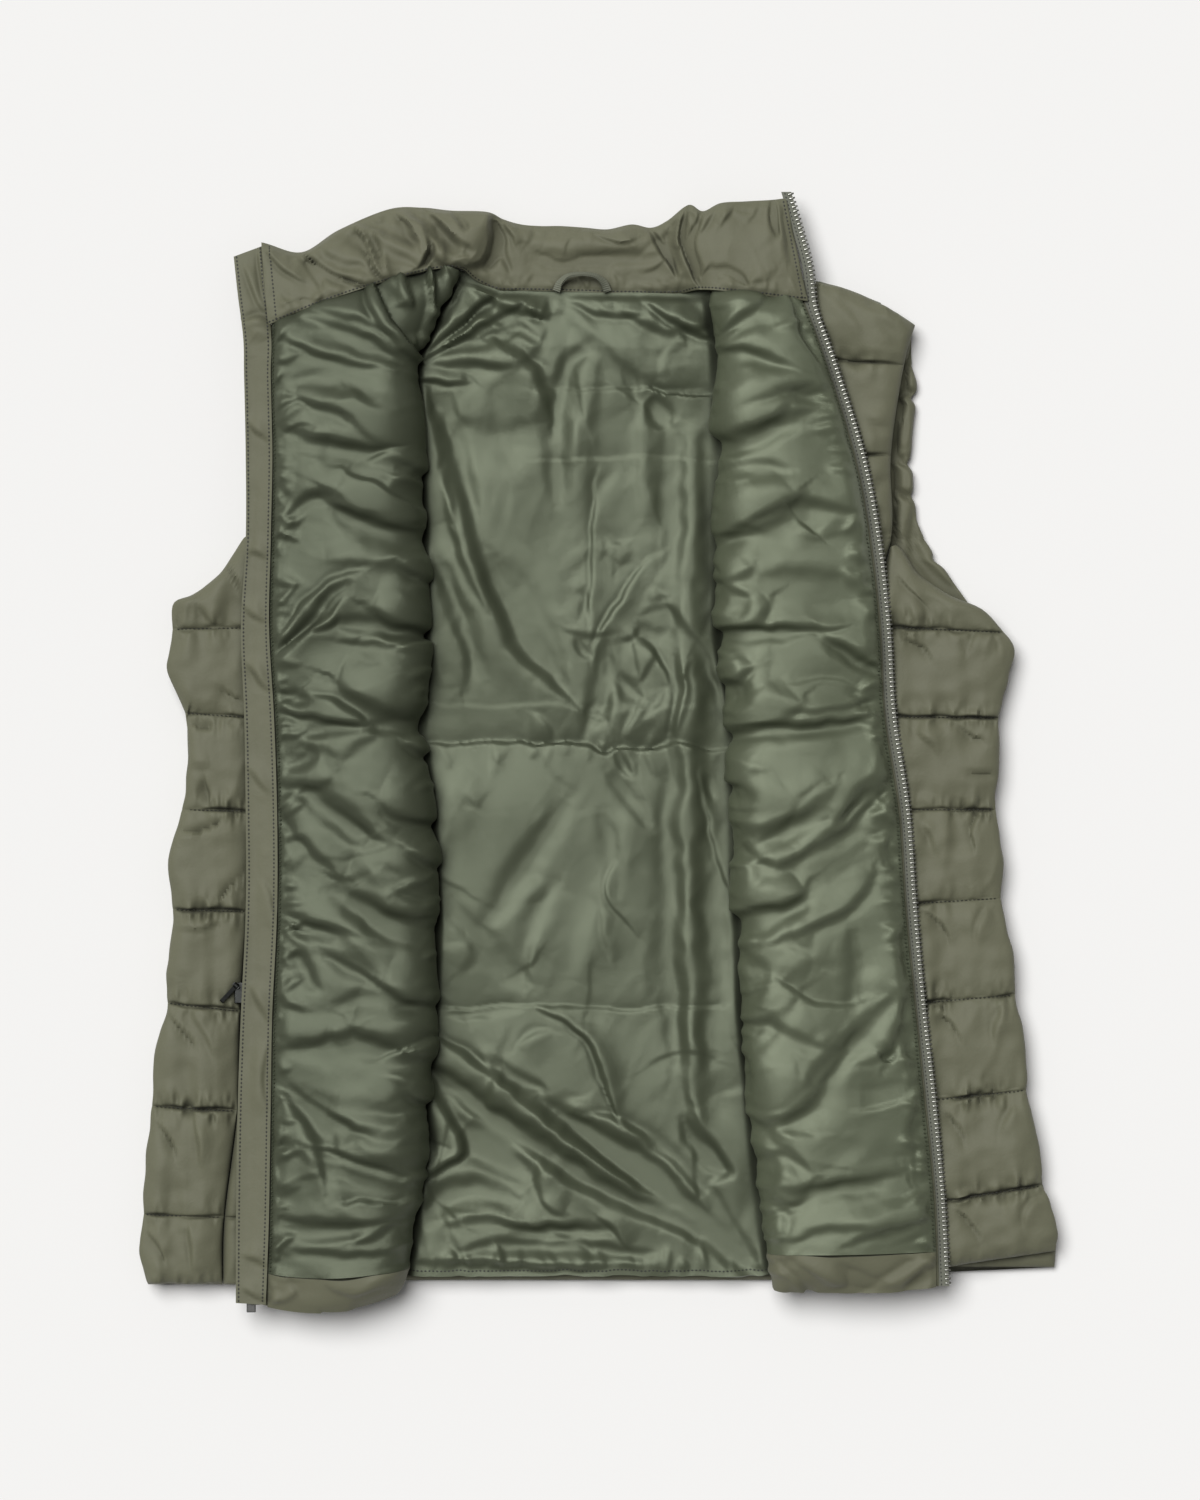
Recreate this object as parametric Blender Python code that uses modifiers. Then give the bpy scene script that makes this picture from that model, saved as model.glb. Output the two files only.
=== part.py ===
"""A quilted puffer vest, laid on its back with both fronts folded open, in metres, +Z up.

Tables are in millimetres. A line number runs down the garment: 0 is the neck or shoulder
seam, 1 to 10 are quilt lines and 11 is the hem. Left and right are the wearer's, so the
right front is on the -X side.
"""

import math

import bmesh
import bpy
import numpy as np
from mathutils import Matrix, Vector

MM = 0.001
GAP = 0.3
SKIN_GAP = 0.45
LAST_LINE = 11

# Walls and heights of the layers, from the floor up
BACK_TOP = 9.0
LINING_WALL = 1.5
BACK_LINING_BOTTOM = BACK_TOP + GAP
LOWER_BOTTOM = BACK_LINING_BOTTOM + LINING_WALL + GAP
TUCK_LIFT = LINING_WALL + SKIN_GAP
LOWER_PUFF = 10.5
SIDE_PUFF = 11.3
UPPER_BOTTOM = LOWER_BOTTOM + LOWER_PUFF + 0.8
ROLL_HEIGHTS = (37.0, 40.5, 41.0, 40.0, 37.5, 34.0, 30.0, 25.4)
FOLD_MID = 23.0
FOLD_RADIUS = 16.0
SLOT_END = 14.0
TUCK_LENGTH = 24.0
TUCK_RAMP = 6.0
TUCK_END = FOLD_RADIUS + TUCK_LENGTH + 2 + TUCK_RAMP
FACING_WALL = 1.5
FLAP_WALL = 1.8
FLAP_CLEARANCE = 1.5
FLAP_REACH = 4.0
ROLL_LEAST = 1.0
SKIN_END = 1.5
SKIN_STATIONS = (0.0, 0.15, 0.35, 0.6, 0.85, 1.0)
LINING_START = 0.07

# Quilting: how deep a quilt line sinks, and how far it draws an edge in
LOWER_TROUGH = 3.4
ROLL_TROUGH = 3.0
LINE_PULL = 1.8
RIM_INSET = 2.5
SEAM_FULLNESS = 0.4
SEAM_ROUND = 15.0
SEAM_LEVEL = LOWER_BOTTOM + 3.0
END_PULL = 3.0
END_ROUND = 0.3
END_LEAST = 0.45
ROWS_IN_CHANNEL = (0.0, 0.22, 0.78)
ARMHOLE_CHANNEL = 3
ROWS_AT_ARMHOLE = (0.0, 0.22, 0.5, 0.78)


def table(columns, rows):
    """Named columns of numbers, one row to a line or a station."""
    values = np.array(rows, float)
    return {name: values[:, i] for i, name in enumerate(columns.split())}


FRONT_COLUMNS = "line fold_x fold_y edge_x edge_y seam_x seam_y lining_x roll_bow low_bow"

# fold: inner fold. edge: outer edge of the folded-back run. seam: outer end of the lower run,
# which is the shoulder and armhole down to line 3 and the princess seam below it.
RIGHT_FRONT = table(FRONT_COLUMNS, [
    (0, -88, 297, -209, 260, -194, 257, -202, 6, 0),
    (1, -116, 241, -208, 231, -185, 241, -202, 0, 0),
    (2, -115, 187, -207, 183, -183, 183, -201, 0, 0),
    (3, -112, 136, -208, 130, -201, 143, -202, 0, 0),
    (4, -111, 68, -209, 76, -208, 76, -203, 0, 0),
    (5, -112, 14, -208, 22, -213, 20, -200, 0, 0),
    (6, -107, -45, -206, -38, -215, -38, -198, 0, 0),
    (7, -103, -104, -206, -99, -218, -100, -198, 0, 0),
    (8, -105, -161, -208, -164, -222, -162, -201, 0, 0),
    (9, -112, -226, -209, -223, -224, -224, -202, 0, 0),
    (10, -116, -291, -210, -288, -232, -290, -203, -2, 0),
    (11, -123, -335, -210, -343, -233, -332, -205, -7, 0),
])
LEFT_FRONT = table(FRONT_COLUMNS, [
    (0, 71, 284, 128, 277, 197, 264, 127, 0, 17),
    (1, 76, 247, 141, 241, 190, 239, 140, 0, 0),
    (2, 78, 183, 159, 183, 182, 183, 158, 0, 0),
    (3, 78, 133, 169, 130, 182, 131, 168, 0, 0),
    (4, 78, 73, 175, 77, 166, 77, 174, 0, 0),
    (5, 85, 16, 178, 21, 172, 21, 177, 0, 0),
    (6, 87, -40, 187, -37, 177, -37, 186, 0, 0),
    (7, 89, -96, 191, -96, 181, -96, 190, 0, 0),
    (8, 92, -158, 197, -158, 185, -158, 196, 0, 0),
    (9, 98, -223, 203, -217, 189, -219, 202, 0, 0),
    (10, 104, -282, 209, -279, 193, -283, 208, 0, 0),
    (11, 110, -331, 211, -332, 197, -324, 210, -1, 0),
])
RIGHT_FRONT["outward"] = -1
LEFT_FRONT["outward"] = 1

# Outer edge of each side panel: its armhole to line 4, then the side seam
RIGHT_SIDE = table("line x y", [
    (3, -220, 132), (3.4, -237, 108), (3.7, -252, 96), (3.85, -263, 91),
    (4, -264, 75), (4.5, -267, 50), (5, -257, 23), (5.5, -255, -9), (6, -258, -37),
    (6.5, -267, -68), (7, -264, -99), (7.5, -267, -127), (8, -268, -157), (8.5, -275, -189),
    (9, -277, -221), (9.5, -281, -254), (10, -283, -288), (10.5, -285, -310), (11, -280, -332),
])
LEFT_SIDE = table("line x y", [
    (3.22, 191, 121), (3.35, 198, 111), (3.5, 206, 104), (3.7, 221, 95), (3.85, 240, 87),
    (4, 253, 73), (4.5, 254, 43), (5, 249, 20), (5.5, 249, -9), (6, 247, -37),
    (6.5, 251, -66), (7, 250, -92), (7.5, 257, -124), (8, 259, -152), (8.5, 265, -184),
    (9, 267, -211), (9.5, 273, -241), (10, 277, -270), (10.5, 284, -291), (11, 285, -311),
])

BACK_HEM = ((-225, -331), (-123, -330), (0, -330), (110, -330), (223, -322))
LEFT_BACK_ARMHOLE = (
    (243, 80), (231, 91), (221, 104), (209, 121), (198, 143), (195, 165), (195, 185),
    (196, 206), (198, 229), (195, 246),
)
LEFT_SHOULDER = ((199, 261), (192, 269), (181, 275), (171, 279), (154, 286), (136, 291), (115, 291))
BACK_NECK = ((92, 287), (70, 283), (42, 283), (8, 284), (-29, 285), (-62, 285), (-76, 291), (-90, 295))
RIGHT_SHOULDER = ((-115, 286), (-136, 279), (-171, 267), (-191, 258))
RIGHT_BACK_ARMHOLE = (
    (-195, 246), (-190, 220), (-186, 195), (-186, 172), (-192, 148), (-205, 124), (-222, 108),
    (-240, 97), (-255, 88),
)
RIM_SECTION = ((0.0, 3.0), (1.4, 0.8), (4.5, 0.0), (7.6, 0.8), (BACK_TOP, 3.0))

# Back lining: its grid, its ends, and how far it stays inside the side seams
LINING_ROWS = 28
LINING_COLUMNS = 16
LINING_TOP = 283.0
LINING_FOOT = -326.0
LINING_RISE = 0.8
LINING_FOOT_CURVE = ((110, 0), (223, 8), (285, 19))
LINING_INSIDE = 6.0
LINING_SIDE = 8.0
ARMHOLE_TOP = 244.0

# The large folds that lie in the back lining: a ridge from one end to the other
LINING_FOLDS = table("x0 y0 x1 y1 width height", [
    (-110, 5, 86, 3, 7, 2.6), (56, 95, 56, -225, 9, 4.2), (-18, 60, 0, -6, 6, 2.6),
    (-30, 100, -28, 10, 10, 2.0), (-82, 126, -53, 66, 8, 2.4), (-53, 66, 0, 27, 8, 2.0),
    (-100, -160, 60, -158, 6, 1.8), (-101, -197, -40, -240, 9, 3.8),
    (-40, -240, 60, -301, 9, 3.8), (-20, -236, 43, -275, 8, 3.4), (43, -275, 94, -313, 8, 3.4),
    (-33, -164, 0, -190, 7, 3.0), (0, -190, 40, -246, 7, 2.6), (-55, -300, 32, -313, 7, 2.4),
    (-116, 240, -66, 286, 8, 3.0), (-109, 219, -91, 146, 8, 3.0), (-34, 140, -21, 238, 9, 2.6),
    (-21, 238, 8, 242, 8, 2.6), (-46, 180, 76, 180, 5, 1.6), (-17, 224, 77, 222, 5, 1.6),
    (-84, -40, -47, -70, 9, 2.0), (66, 60, 66, -10, 7, 2.6),
])

# Storm flap: sewn edge, free edge and the height of the free edge
FLAP = table("line sewn_x sewn_y free_x free_y z", [
    (-1, -207.2, 313, -226, 306, 16.5), (-0.5, -204.8, 286, -223, 281, 21.5),
    (0, -202, 260, -220, 260, 25.3), (1, -202, 231, -219, 231, 25.3),
    (2, -201, 183, -218, 183, 25.3), (3, -202, 130, -218, 130, 25.3),
    (4, -203, 76, -221, 76, 25.3), (5, -200, 22, -219, 22, 25.3),
    (6, -198, -38, -218, -38, 25.3), (7, -198, -99, -218, -99, 25.3),
    (8, -201, -164, -221, -164, 25.3), (9, -202, -223, -223, -223, 25.3),
    (10, -203, -288, -224, -288, 25.6), (11, -205, -343, -224, -342, 27.0),
])

# Zip halves: outer line of the teeth, from the collar's top to the hem
LEFT_ZIP = table("line x y z", [
    (-1, 121, 346, 20.0), (-0.67, 128, 322, 21.0), (-0.33, 134, 299, 22.5), (0, 136.3, 277, 24.0),
    (1, 148.5, 241, 24.0), (2, 166.5, 183, 24.0), (3, 176.5, 130, 24.0), (4, 182.3, 77, 24.0),
    (5, 185.8, 21, 24.0), (6, 194.3, -37, 24.0), (7, 198.5, -96, 24.0), (8, 204, -158, 24.0),
    (9, 210.5, -217, 24.0), (10, 216, -279, 24.0), (11, 218.8, -332, 24.0),
])
ZIP_WIDTH = 7.4
TAPE_WALL = 1.2
BEAD_WIDTH = 5.0
BEAD_HEIGHT = 2.6
TEETH_UNDER_FLAP = 2.0
TEETH_END = 10.76

# Collar: seam edge and top edge, from the right front's end round the neck to the left's
COLLAR = table("line seam_x seam_y seam_z top_x top_y top_z", [
    (0, -201.8, 264.6, 27.5, -206.4, 315, 17), (1, -177, 276, 30, -184, 309, 15),
    (2, -154, 284, 31, -161, 323, 13), (3, -130, 291.5, 30, -130, 336, 11),
    (4, -113, 296, 28, -109, 337, 11), (5, -98, 299.5, 25, -91, 335, 13),
    (6, -84, 299.5, 21, -69, 334, 15), (7, -75, 293, 13, -59, 330, 9),
    (8, -62, 287.4, 9, -48, 327, 7), (9, -47, 287, 8, -36, 326, 6.5),
    (10, -29, 286.7, 8, -23, 326, 6.5), (11, -8, 286.2, 8, -8, 325, 6.5),
    (12, 8, 285.6, 8, 6, 324, 6.5), (13, 26, 285.2, 8, 21, 327, 6.5),
    (14, 42, 285, 8, 33, 325, 6.5), (15, 52, 285.4, 11, 43, 329, 10),
    (16, 61, 286.8, 19, 56, 338, 18), (17, 71, 286.2, 26, 65, 334, 20),
    (18, 85, 284.6, 28, 76, 339, 20), (19, 100, 282.8, 28, 91, 340, 20),
    (20, 115, 280.8, 27, 108, 341, 20), (21, 127, 279.4, 25.5, 114, 342, 19.5),
])
COLLAR_SECTION = table("across wall", [
    (0.0, 3.0), (0.08, 6.0), (0.25, 9.5), (0.5, 12.0), (0.75, 11.5), (0.93, 7.5), (1.0, 2.5),
])

# Hanger loop: the middle of its tape
LOOP = table("line x y z", [
    (0, -26.0, 285.0, 11.75), (1, -23.8, 290.4, 13.2), (2, -18.5, 294.6, 14.8),
    (3, -10, 295.8, 15.4), (4, -1.5, 294.6, 14.8), (5, 3.8, 290.4, 13.2), (6, 6.0, 284.6, 11.75),
])
LOOP_WIDTH = 4.6
LOOP_WALL = 1.2

# Foot of the right zip half: its box, and its slider under the storm flap
ZIP_BOX_SIZE = (5.6, 8.0, 2.8)
ZIP_BOX_AT = (-214.8, -344.2, 24.2)
ZIP_SLIDER_SIZE = (8.0, 10.0, 3.4)
ZIP_SLIDER_AT = (-214.8, -334.4, 24.3)

# Pocket zip at the right princess seam: its slider's body, and the tab hinged on it
POCKET_BODY_SIZE = (6.0, 13.0, 2.4)
POCKET_BODY_AT = (-222.4, -150.6, 20.8)
HINGE_AT = (-224.2, -146.0, 24.0)
TAB_HEADING = math.radians(226.7)
TAB_SLOPE = math.radians(11.0)
TAB_LENGTH = 14.0
TAB_WIDTH = 2.4
TAB_WALL = 1.6
EYE_RADIUS = 1.7
EYE_HOLE = 1.0
PIN_RADIUS = 0.7
LUG_WALL = 0.8
LUG_HALF = 1.1


def curve(rows, column, at):
    """A column of a table, read at any line from a smooth curve through its rows."""
    stations = rows["line"]
    values = rows[column]
    step = np.diff(stations)
    slope = np.diff(values) / step
    inner = (slope[:-1] * step[1:] + slope[1:] * step[:-1]) / (step[:-1] + step[1:])
    tangent = np.concatenate([slope[:1], inner, slope[-1:]])
    i = int(np.clip(np.searchsorted(stations, at, side="right") - 1, 0, len(step) - 1))
    t = (at - stations[i]) / step[i]
    start = values[i] * (2 * t**3 - 3 * t**2 + 1) + values[i + 1] * (3 * t**2 - 2 * t**3)
    return start + step[i] * (tangent[i] * (t**3 - 2 * t**2 + t) + tangent[i + 1] * (t**3 - t**2))


ROLL = {
    "line": np.arange(len(ROLL_HEIGHTS), dtype=float),
    "height": np.array(ROLL_HEIGHTS),
}


def mix(start, end, share):
    return start + (end - start) * share


def puff(line):
    """Fullness of the padding: 0 on a quilt line and 1 halfway to the next."""
    part = line - math.floor(line)
    return math.sqrt(4 * part * (1 - part))


def end_fullness(line):
    """How far the padding has filled out from the seam at a panel's end."""
    inward = min(line, LAST_LINE - line) / END_ROUND
    return END_LEAST + (1 - END_LEAST) * math.sqrt(1 - (1 - min(max(inward, 0), 1)) ** 2)


def padding(line, crown, full_height):
    """Thickness of quilted padding. crown is 0 at a panel's edge and 1 well inside it."""
    sunk = LOWER_TROUGH * (1 - puff(line)) * mix(0.4, 1, crown)
    return end_fullness(line) * (full_height * mix(SEAM_FULLNESS, 1, crown) - sunk)


def front_widths(front, line):
    """Widths of the folded-back run and of the lower run, from the fold outwards."""
    fold_x = curve(front, "fold_x", line)
    upper = abs(curve(front, "edge_x", line) - fold_x)
    lower = abs(curve(front, "seam_x", line) - fold_x)
    return upper, lower


def drawn_in_at(line):
    """How far a quilt line or an end seam draws the inner fold in."""
    return LINE_PULL * (1 - puff(line)) + END_PULL * (1 - end_fullness(line))


def front_point(front, line, inward, z, lower=False):
    """A point of a front, a distance outwards from its inner fold."""
    widths = front_widths(front, line)
    share = inward / widths[1 if lower else 0]
    end, bow = ("seam_y", "low_bow") if lower else ("edge_y", "roll_bow")
    y = mix(curve(front, "fold_y", line), curve(front, end, line), share)
    y += curve(front, bow, line) * 4 * share * (1 - share)
    reach = inward + drawn_in_at(line) * (1 - share)
    return (curve(front, "fold_x", line) + front["outward"] * reach, y, z)


def roll_top(front, line, inward):
    """Height of the folded-back run's upper side."""
    share = min(inward / front_widths(front, line)[0], 1)
    height = curve(ROLL, "height", share * (len(ROLL_HEIGHTS) - 1))
    z = mix(UPPER_BOTTOM + ROLL_LEAST, height, end_fullness(line))
    z -= ROLL_TROUGH * (1 - puff(line)) * (1 - share**2)
    return z


def lower_top(front, line, inward):
    """Height of the lower run's upper side."""
    width = front_widths(front, line)[1]
    from_seam = np.clip((width - inward) / SEAM_ROUND, 0, 1)
    crown = math.sqrt(1 - (1 - from_seam) ** 2)
    return LOWER_BOTTOM + padding(line, crown, LOWER_PUFF)


def lower_bottom(inward):
    lift = np.clip((TUCK_END - inward) / TUCK_RAMP, 0, 1)
    return LOWER_BOTTOM + TUCK_LIFT * lift


def skin_point(front, line, along):
    """A point of the shell's outside round the inner fold. along is 0 at the fold, grows over
    the top to the outer edge, and is negative underneath."""
    quarter = FOLD_RADIUS * math.pi / 2
    turn = min(abs(along) / FOLD_RADIUS, math.pi / 2)
    inward = FOLD_RADIUS * (1 - math.cos(turn)) + max(abs(along) - quarter, 0)
    level = roll_top(front, line, inward) if along > 0 else lower_bottom(inward)
    z = mix(FOLD_MID, level, math.sin(turn))
    x, y, _ = front_point(front, line, inward, z)
    if along < 0:
        y = curve(front, "fold_y", line)
    return (x, y, z)


def skin_normal(front, line, along):
    """Outward direction of the skin."""
    low, high = max(line - 0.04, 0), min(line + 0.04, LAST_LINE)
    down = np.subtract(skin_point(front, high, along), skin_point(front, low, along))
    across = np.subtract(skin_point(front, line, along + 1), skin_point(front, line, along - 1))
    across[1] = 0
    normal = np.cross(across, down) * -front["outward"]
    return normal / np.linalg.norm(normal)


def along_at(inward):
    """How far along the skin a point on the top side lies."""
    return inward - FOLD_RADIUS + FOLD_RADIUS * math.pi / 2


def lines_between(first, last, inside=ROWS_IN_CHANNEL):
    """Rows from one line to another, several to each quilted channel."""
    found = [first]
    for channel in range(math.floor(first), math.ceil(last)):
        at_armhole = channel == ARMHOLE_CHANNEL and inside is ROWS_IN_CHANNEL
        for part in ROWS_AT_ARMHOLE if at_armhole else inside:
            line = channel + part
            if first + 0.08 < line < last - 0.08:
                found.append(line)
    return found + [last]


def mesh_object(name, points, faces, material):
    """One closed mesh in millimetres, its faces turned outwards."""
    mesh = bpy.data.meshes.new(name)
    mesh.from_pydata([tuple(c * MM for c in p) for p in points], [], faces)
    shape = bmesh.new()
    shape.from_mesh(mesh)
    bmesh.ops.recalc_face_normals(shape, faces=shape.faces)
    shape.to_mesh(mesh)
    shape.free()
    mesh.shade_smooth()
    mesh.set_sharp_from_angle(angle=math.radians(40))
    mesh.materials.append(material)
    made = bpy.data.objects.new(name, mesh)
    bpy.data.collections["puffer_vest"].objects.link(made)
    return made


def loft(name, rings, material):
    """A solid through closed rings with equal numbers of points, capped at both ends."""
    size = len(rings[0])
    points = [p for ring in rings for p in ring]
    faces = [tuple(range(size)), tuple(range((len(rings) - 1) * size, len(rings) * size))]
    for i in range(len(rings) - 1):
        for j in range(size):
            a, b = i * size + j, i * size + (j + 1) % size
            faces.append((a, b, b + size, a + size))
    return mesh_object(name, points, faces, material)


def slab(name, outer, inner, material):
    """A wall between two grids of points, closed round its rim."""
    rings = [list(out) + list(inn)[::-1] for out, inn in zip(outer, inner)]
    size, width = len(rings[0]), len(outer[0])
    points = [p for ring in rings for p in ring]
    faces = []
    for i in range(len(rings) - 1):
        for j in range(size):
            a, b = i * size + j, i * size + (j + 1) % size
            faces.append((a, b, b + size, a + size))
    for start in (0, (len(rings) - 1) * size):
        for j in range(width - 1):
            faces.append((start + j, start + j + 1, start + size - 2 - j, start + size - 1 - j))
    return mesh_object(name, points, faces, material)


def front_ring(front, line):
    """Section of a front's shell: lower run, inner fold and folded-back run."""
    upper, lower = front_widths(front, line)
    quarter = FOLD_RADIUS * math.pi / 2
    spare = upper - FOLD_RADIUS
    rim = mix(LOWER_BOTTOM, lower_top(front, line, lower), 0.5)
    ring = [front_point(front, line, lower, rim, True)]
    ring.append(front_point(front, line, lower - RIM_INSET, LOWER_BOTTOM, True))
    ring.append(front_point(front, line, TUCK_END, LOWER_BOTTOM, True))
    alongs = [-quarter - TUCK_LENGTH - 2, -quarter]
    alongs += [quarter * part for part in (-0.6, -0.2, 0.2, 0.6, 1.0)]
    alongs += [quarter + spare * part for part in (0.15, 0.35, 0.55, 0.75, 0.9, 1.0)]
    ring += [skin_point(front, line, along) for along in alongs]
    ring.append(front_point(front, line, upper, UPPER_BOTTOM + ROLL_LEAST / 2))
    for part in (0.9, 0.5, 0.0):
        ring.append(front_point(front, line, mix(SLOT_END, upper, part), UPPER_BOTTOM))
    inwards = [mix(SLOT_END, lower, part) for part in (0.0, 0.3, 0.55, 0.75, 0.9)]
    inwards.append(lower - RIM_INSET)
    for inward in inwards:
        ring.append(front_point(front, line, inward, lower_top(front, line, inward), True))
    return ring


def make_front_shell(name, front, material):
    return loft(name, [front_ring(front, line) for line in lines_between(0, LAST_LINE)], material)


def make_skin(name, front, lines, wall, material):
    """A cloth that lies on the folded-back run, from under the inner fold to its outer seam."""
    quarter = FOLD_RADIUS * math.pi / 2
    outer, inner = [], []
    for line in lines:
        reach = abs(curve(front, "lining_x", line) - curve(front, "fold_x", line))
        last = along_at(reach - SKIN_END)
        alongs = [-quarter - TUCK_LENGTH] + [quarter * part for part in (-1.0, -0.6, -0.2, 0.2, 0.6)]
        alongs += [mix(quarter, last, part) for part in SKIN_STATIONS]
        rows = [(np.array(skin_point(front, line, a)), skin_normal(front, line, a)) for a in alongs]
        outer.append([tuple(p + n * (SKIN_GAP + wall)) for p, n in rows])
        inner.append([tuple(p + n * SKIN_GAP) for p, n in rows])
    return slab(name, outer, inner, material)


def side_ring(front, side, line):
    """Section of a side panel, from its outer edge to the princess seam."""
    side_x = curve(side, "x", line) - front["outward"] * LINE_PULL * (1 - puff(line))
    side_y = curve(side, "y", line)
    seam_x = curve(front, "seam_x", line) + front["outward"] * GAP
    seam_y = curve(front, "seam_y", line)
    grown = mix(0.55, 1, np.clip((line - side["line"][0]) / 0.5, 0, 1))
    width = abs(seam_x - side_x)

    def point(inward, z):
        share = inward / width
        return (mix(side_x, seam_x, share), mix(side_y, seam_y, share), z)

    def top(inward):
        near = min(inward, width - inward) / min(SEAM_ROUND, width / 2)
        crown = math.sqrt(1 - (1 - min(near, 1)) ** 2)
        return LOWER_BOTTOM + grown * padding(line, crown, SIDE_PUFF)

    inset = min(RIM_INSET, width / 6)
    ring = [point(0, SEAM_LEVEL), point(inset, LOWER_BOTTOM), point(width - inset, LOWER_BOTTOM)]
    ring.append(point(width, mix(LOWER_BOTTOM, top(width), 0.5)))
    for inward in (width - inset, width * 0.82, width * 0.6, width * 0.38, width * 0.18, inset):
        ring.append(point(inward, top(inward)))
    return ring


def make_side_shell(name, front, side, material):
    lines = lines_between(side["line"][0], LAST_LINE)
    return loft(name, [side_ring(front, side, line) for line in lines], material)


def edge_points(side, outward):
    """The side seam of the back, with the same quilt lines as the front's."""
    found = []
    for line in lines_between(4, LAST_LINE):
        drawn_in = LINE_PULL * (1 - puff(line))
        found.append((curve(side, "x", line) - outward * drawn_in, curve(side, "y", line)))
    return found


def back_outline():
    outline = edge_points(RIGHT_SIDE, -1) + list(BACK_HEM) + edge_points(LEFT_SIDE, 1)[::-1]
    outline += list(LEFT_BACK_ARMHOLE) + list(LEFT_SHOULDER) + list(BACK_NECK)
    return np.array(outline + list(RIGHT_SHOULDER) + list(RIGHT_BACK_ARMHOLE), float)


def inset(outline, distance):
    """The outline moved inwards, for a rim that rounds off. It runs anticlockwise."""
    ahead = np.roll(outline, -1, axis=0) - np.roll(outline, 1, axis=0)
    ahead /= np.linalg.norm(ahead, axis=1)[:, None]
    return outline + distance * np.column_stack([-ahead[:, 1], ahead[:, 0]])


def make_back_shell(material):
    outline = back_outline()
    rings = [[(x, y, z) for x, y in inset(outline, drawn_in)] for z, drawn_in in RIM_SECTION]
    return loft("back_shell", rings, material)


def fold_at(front, y):
    """X of a front's inner fold at a height up the garment."""
    return float(np.interp(-y, -front["fold_y"], front["fold_x"]))


def edge_at(side, armhole, y):
    """X of the back's outer edge at a height up the garment."""
    ys = list(side["y"][side["line"] >= 4])
    xs = list(side["x"][side["line"] >= 4])
    hole = sorted(armhole, key=lambda point: -point[1])
    return float(np.interp(-y, [-p[1] for p in hole] + [-v for v in ys], [p[0] for p in hole] + xs))


def lining_relief(x, y):
    """Height of the folds that lie in the back lining, none of it under the fronts."""
    folds = LINING_FOLDS
    run_x, run_y = folds["x1"] - folds["x0"], folds["y1"] - folds["y0"]
    share = ((x - folds["x0"]) * run_x + (y - folds["y0"]) * run_y) / (run_x**2 + run_y**2)
    inside = np.clip(share, 0, 1)
    away = np.hypot(x - folds["x0"] - inside * run_x, y - folds["y0"] - inside * run_y)
    taper = 0.35 + 0.65 * np.sin(math.pi * inside)
    height = (folds["height"] * taper * np.exp(-((away / folds["width"]) ** 2))).max()
    room = min(x - fold_at(RIGHT_FRONT, y), fold_at(LEFT_FRONT, y) - x)
    return height * np.clip((room - 2) / 12, 0, 1)


def make_back_lining(material):
    """One cut from shoulder to hem, with the folds that show between the fronts."""
    tops = sorted(LEFT_SHOULDER[1:] + BACK_NECK + RIGHT_SHOULDER[:-1])
    top_x, top_y = [p[0] for p in tops], [p[1] for p in tops]
    foot_x, foot_rise = zip(*LINING_FOOT_CURVE)
    outer, inner = [], []
    for i in range(LINING_ROWS + 1):
        share = i / LINING_ROWS
        level = mix(LINING_TOP, LINING_FOOT, share)
        left = fold_at(RIGHT_FRONT, level) - LINING_INSIDE
        right = fold_at(LEFT_FRONT, level) + LINING_INSIDE
        hole_level = min(level, ARMHOLE_TOP)
        start = edge_at(RIGHT_SIDE, RIGHT_BACK_ARMHOLE, hole_level) + LINING_SIDE
        end = edge_at(LEFT_SIDE, LEFT_BACK_ARMHOLE, hole_level) - LINING_SIDE
        xs = [start, mix(start, left, 0.5)]
        xs += list(np.linspace(left, right, LINING_COLUMNS))
        xs += [mix(right, end, 0.5), end]
        line = []
        for x in xs:
            y = mix(np.interp(x, top_x, top_y) + LINING_RISE, LINING_FOOT, share)
            y += np.interp(x, foot_x, foot_rise) * share
            line.append((x, y, lining_relief(x, y)))
        outer.append([(x, y, BACK_LINING_BOTTOM + LINING_WALL + z) for x, y, z in line])
        inner.append([(x, y, BACK_LINING_BOTTOM + z) for x, y, z in line])
    return slab("back_lining", outer, inner, material)


def make_storm_flap(material):
    rings = []
    for line in [-1, -0.75, -0.5, -0.25] + lines_between(0, LAST_LINE):
        sewn = (curve(FLAP, "sewn_x", line), curve(FLAP, "sewn_y", line))
        free = (curve(FLAP, "free_x", line), curve(FLAP, "free_y", line))
        level = curve(FLAP, "z", line)
        bottom = []
        for share in (0.02, 0.3, 0.6, 1.0):
            x, y = mix(sewn[0], free[0], share), mix(sewn[1], free[1], share)
            z = level
            if line >= 0:
                inward = abs(x - curve(RIGHT_FRONT, "fold_x", line))
                if inward < front_widths(RIGHT_FRONT, line)[0] + FLAP_REACH:
                    z = max(level, roll_top(RIGHT_FRONT, line, inward) + FLAP_CLEARANCE)
            bottom.append((x, y, z))
        rings.append(bottom + [(x, y, z + FLAP_WALL) for x, y, z in bottom[::-1]])
    return loft("storm_flap", rings, material)


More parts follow.
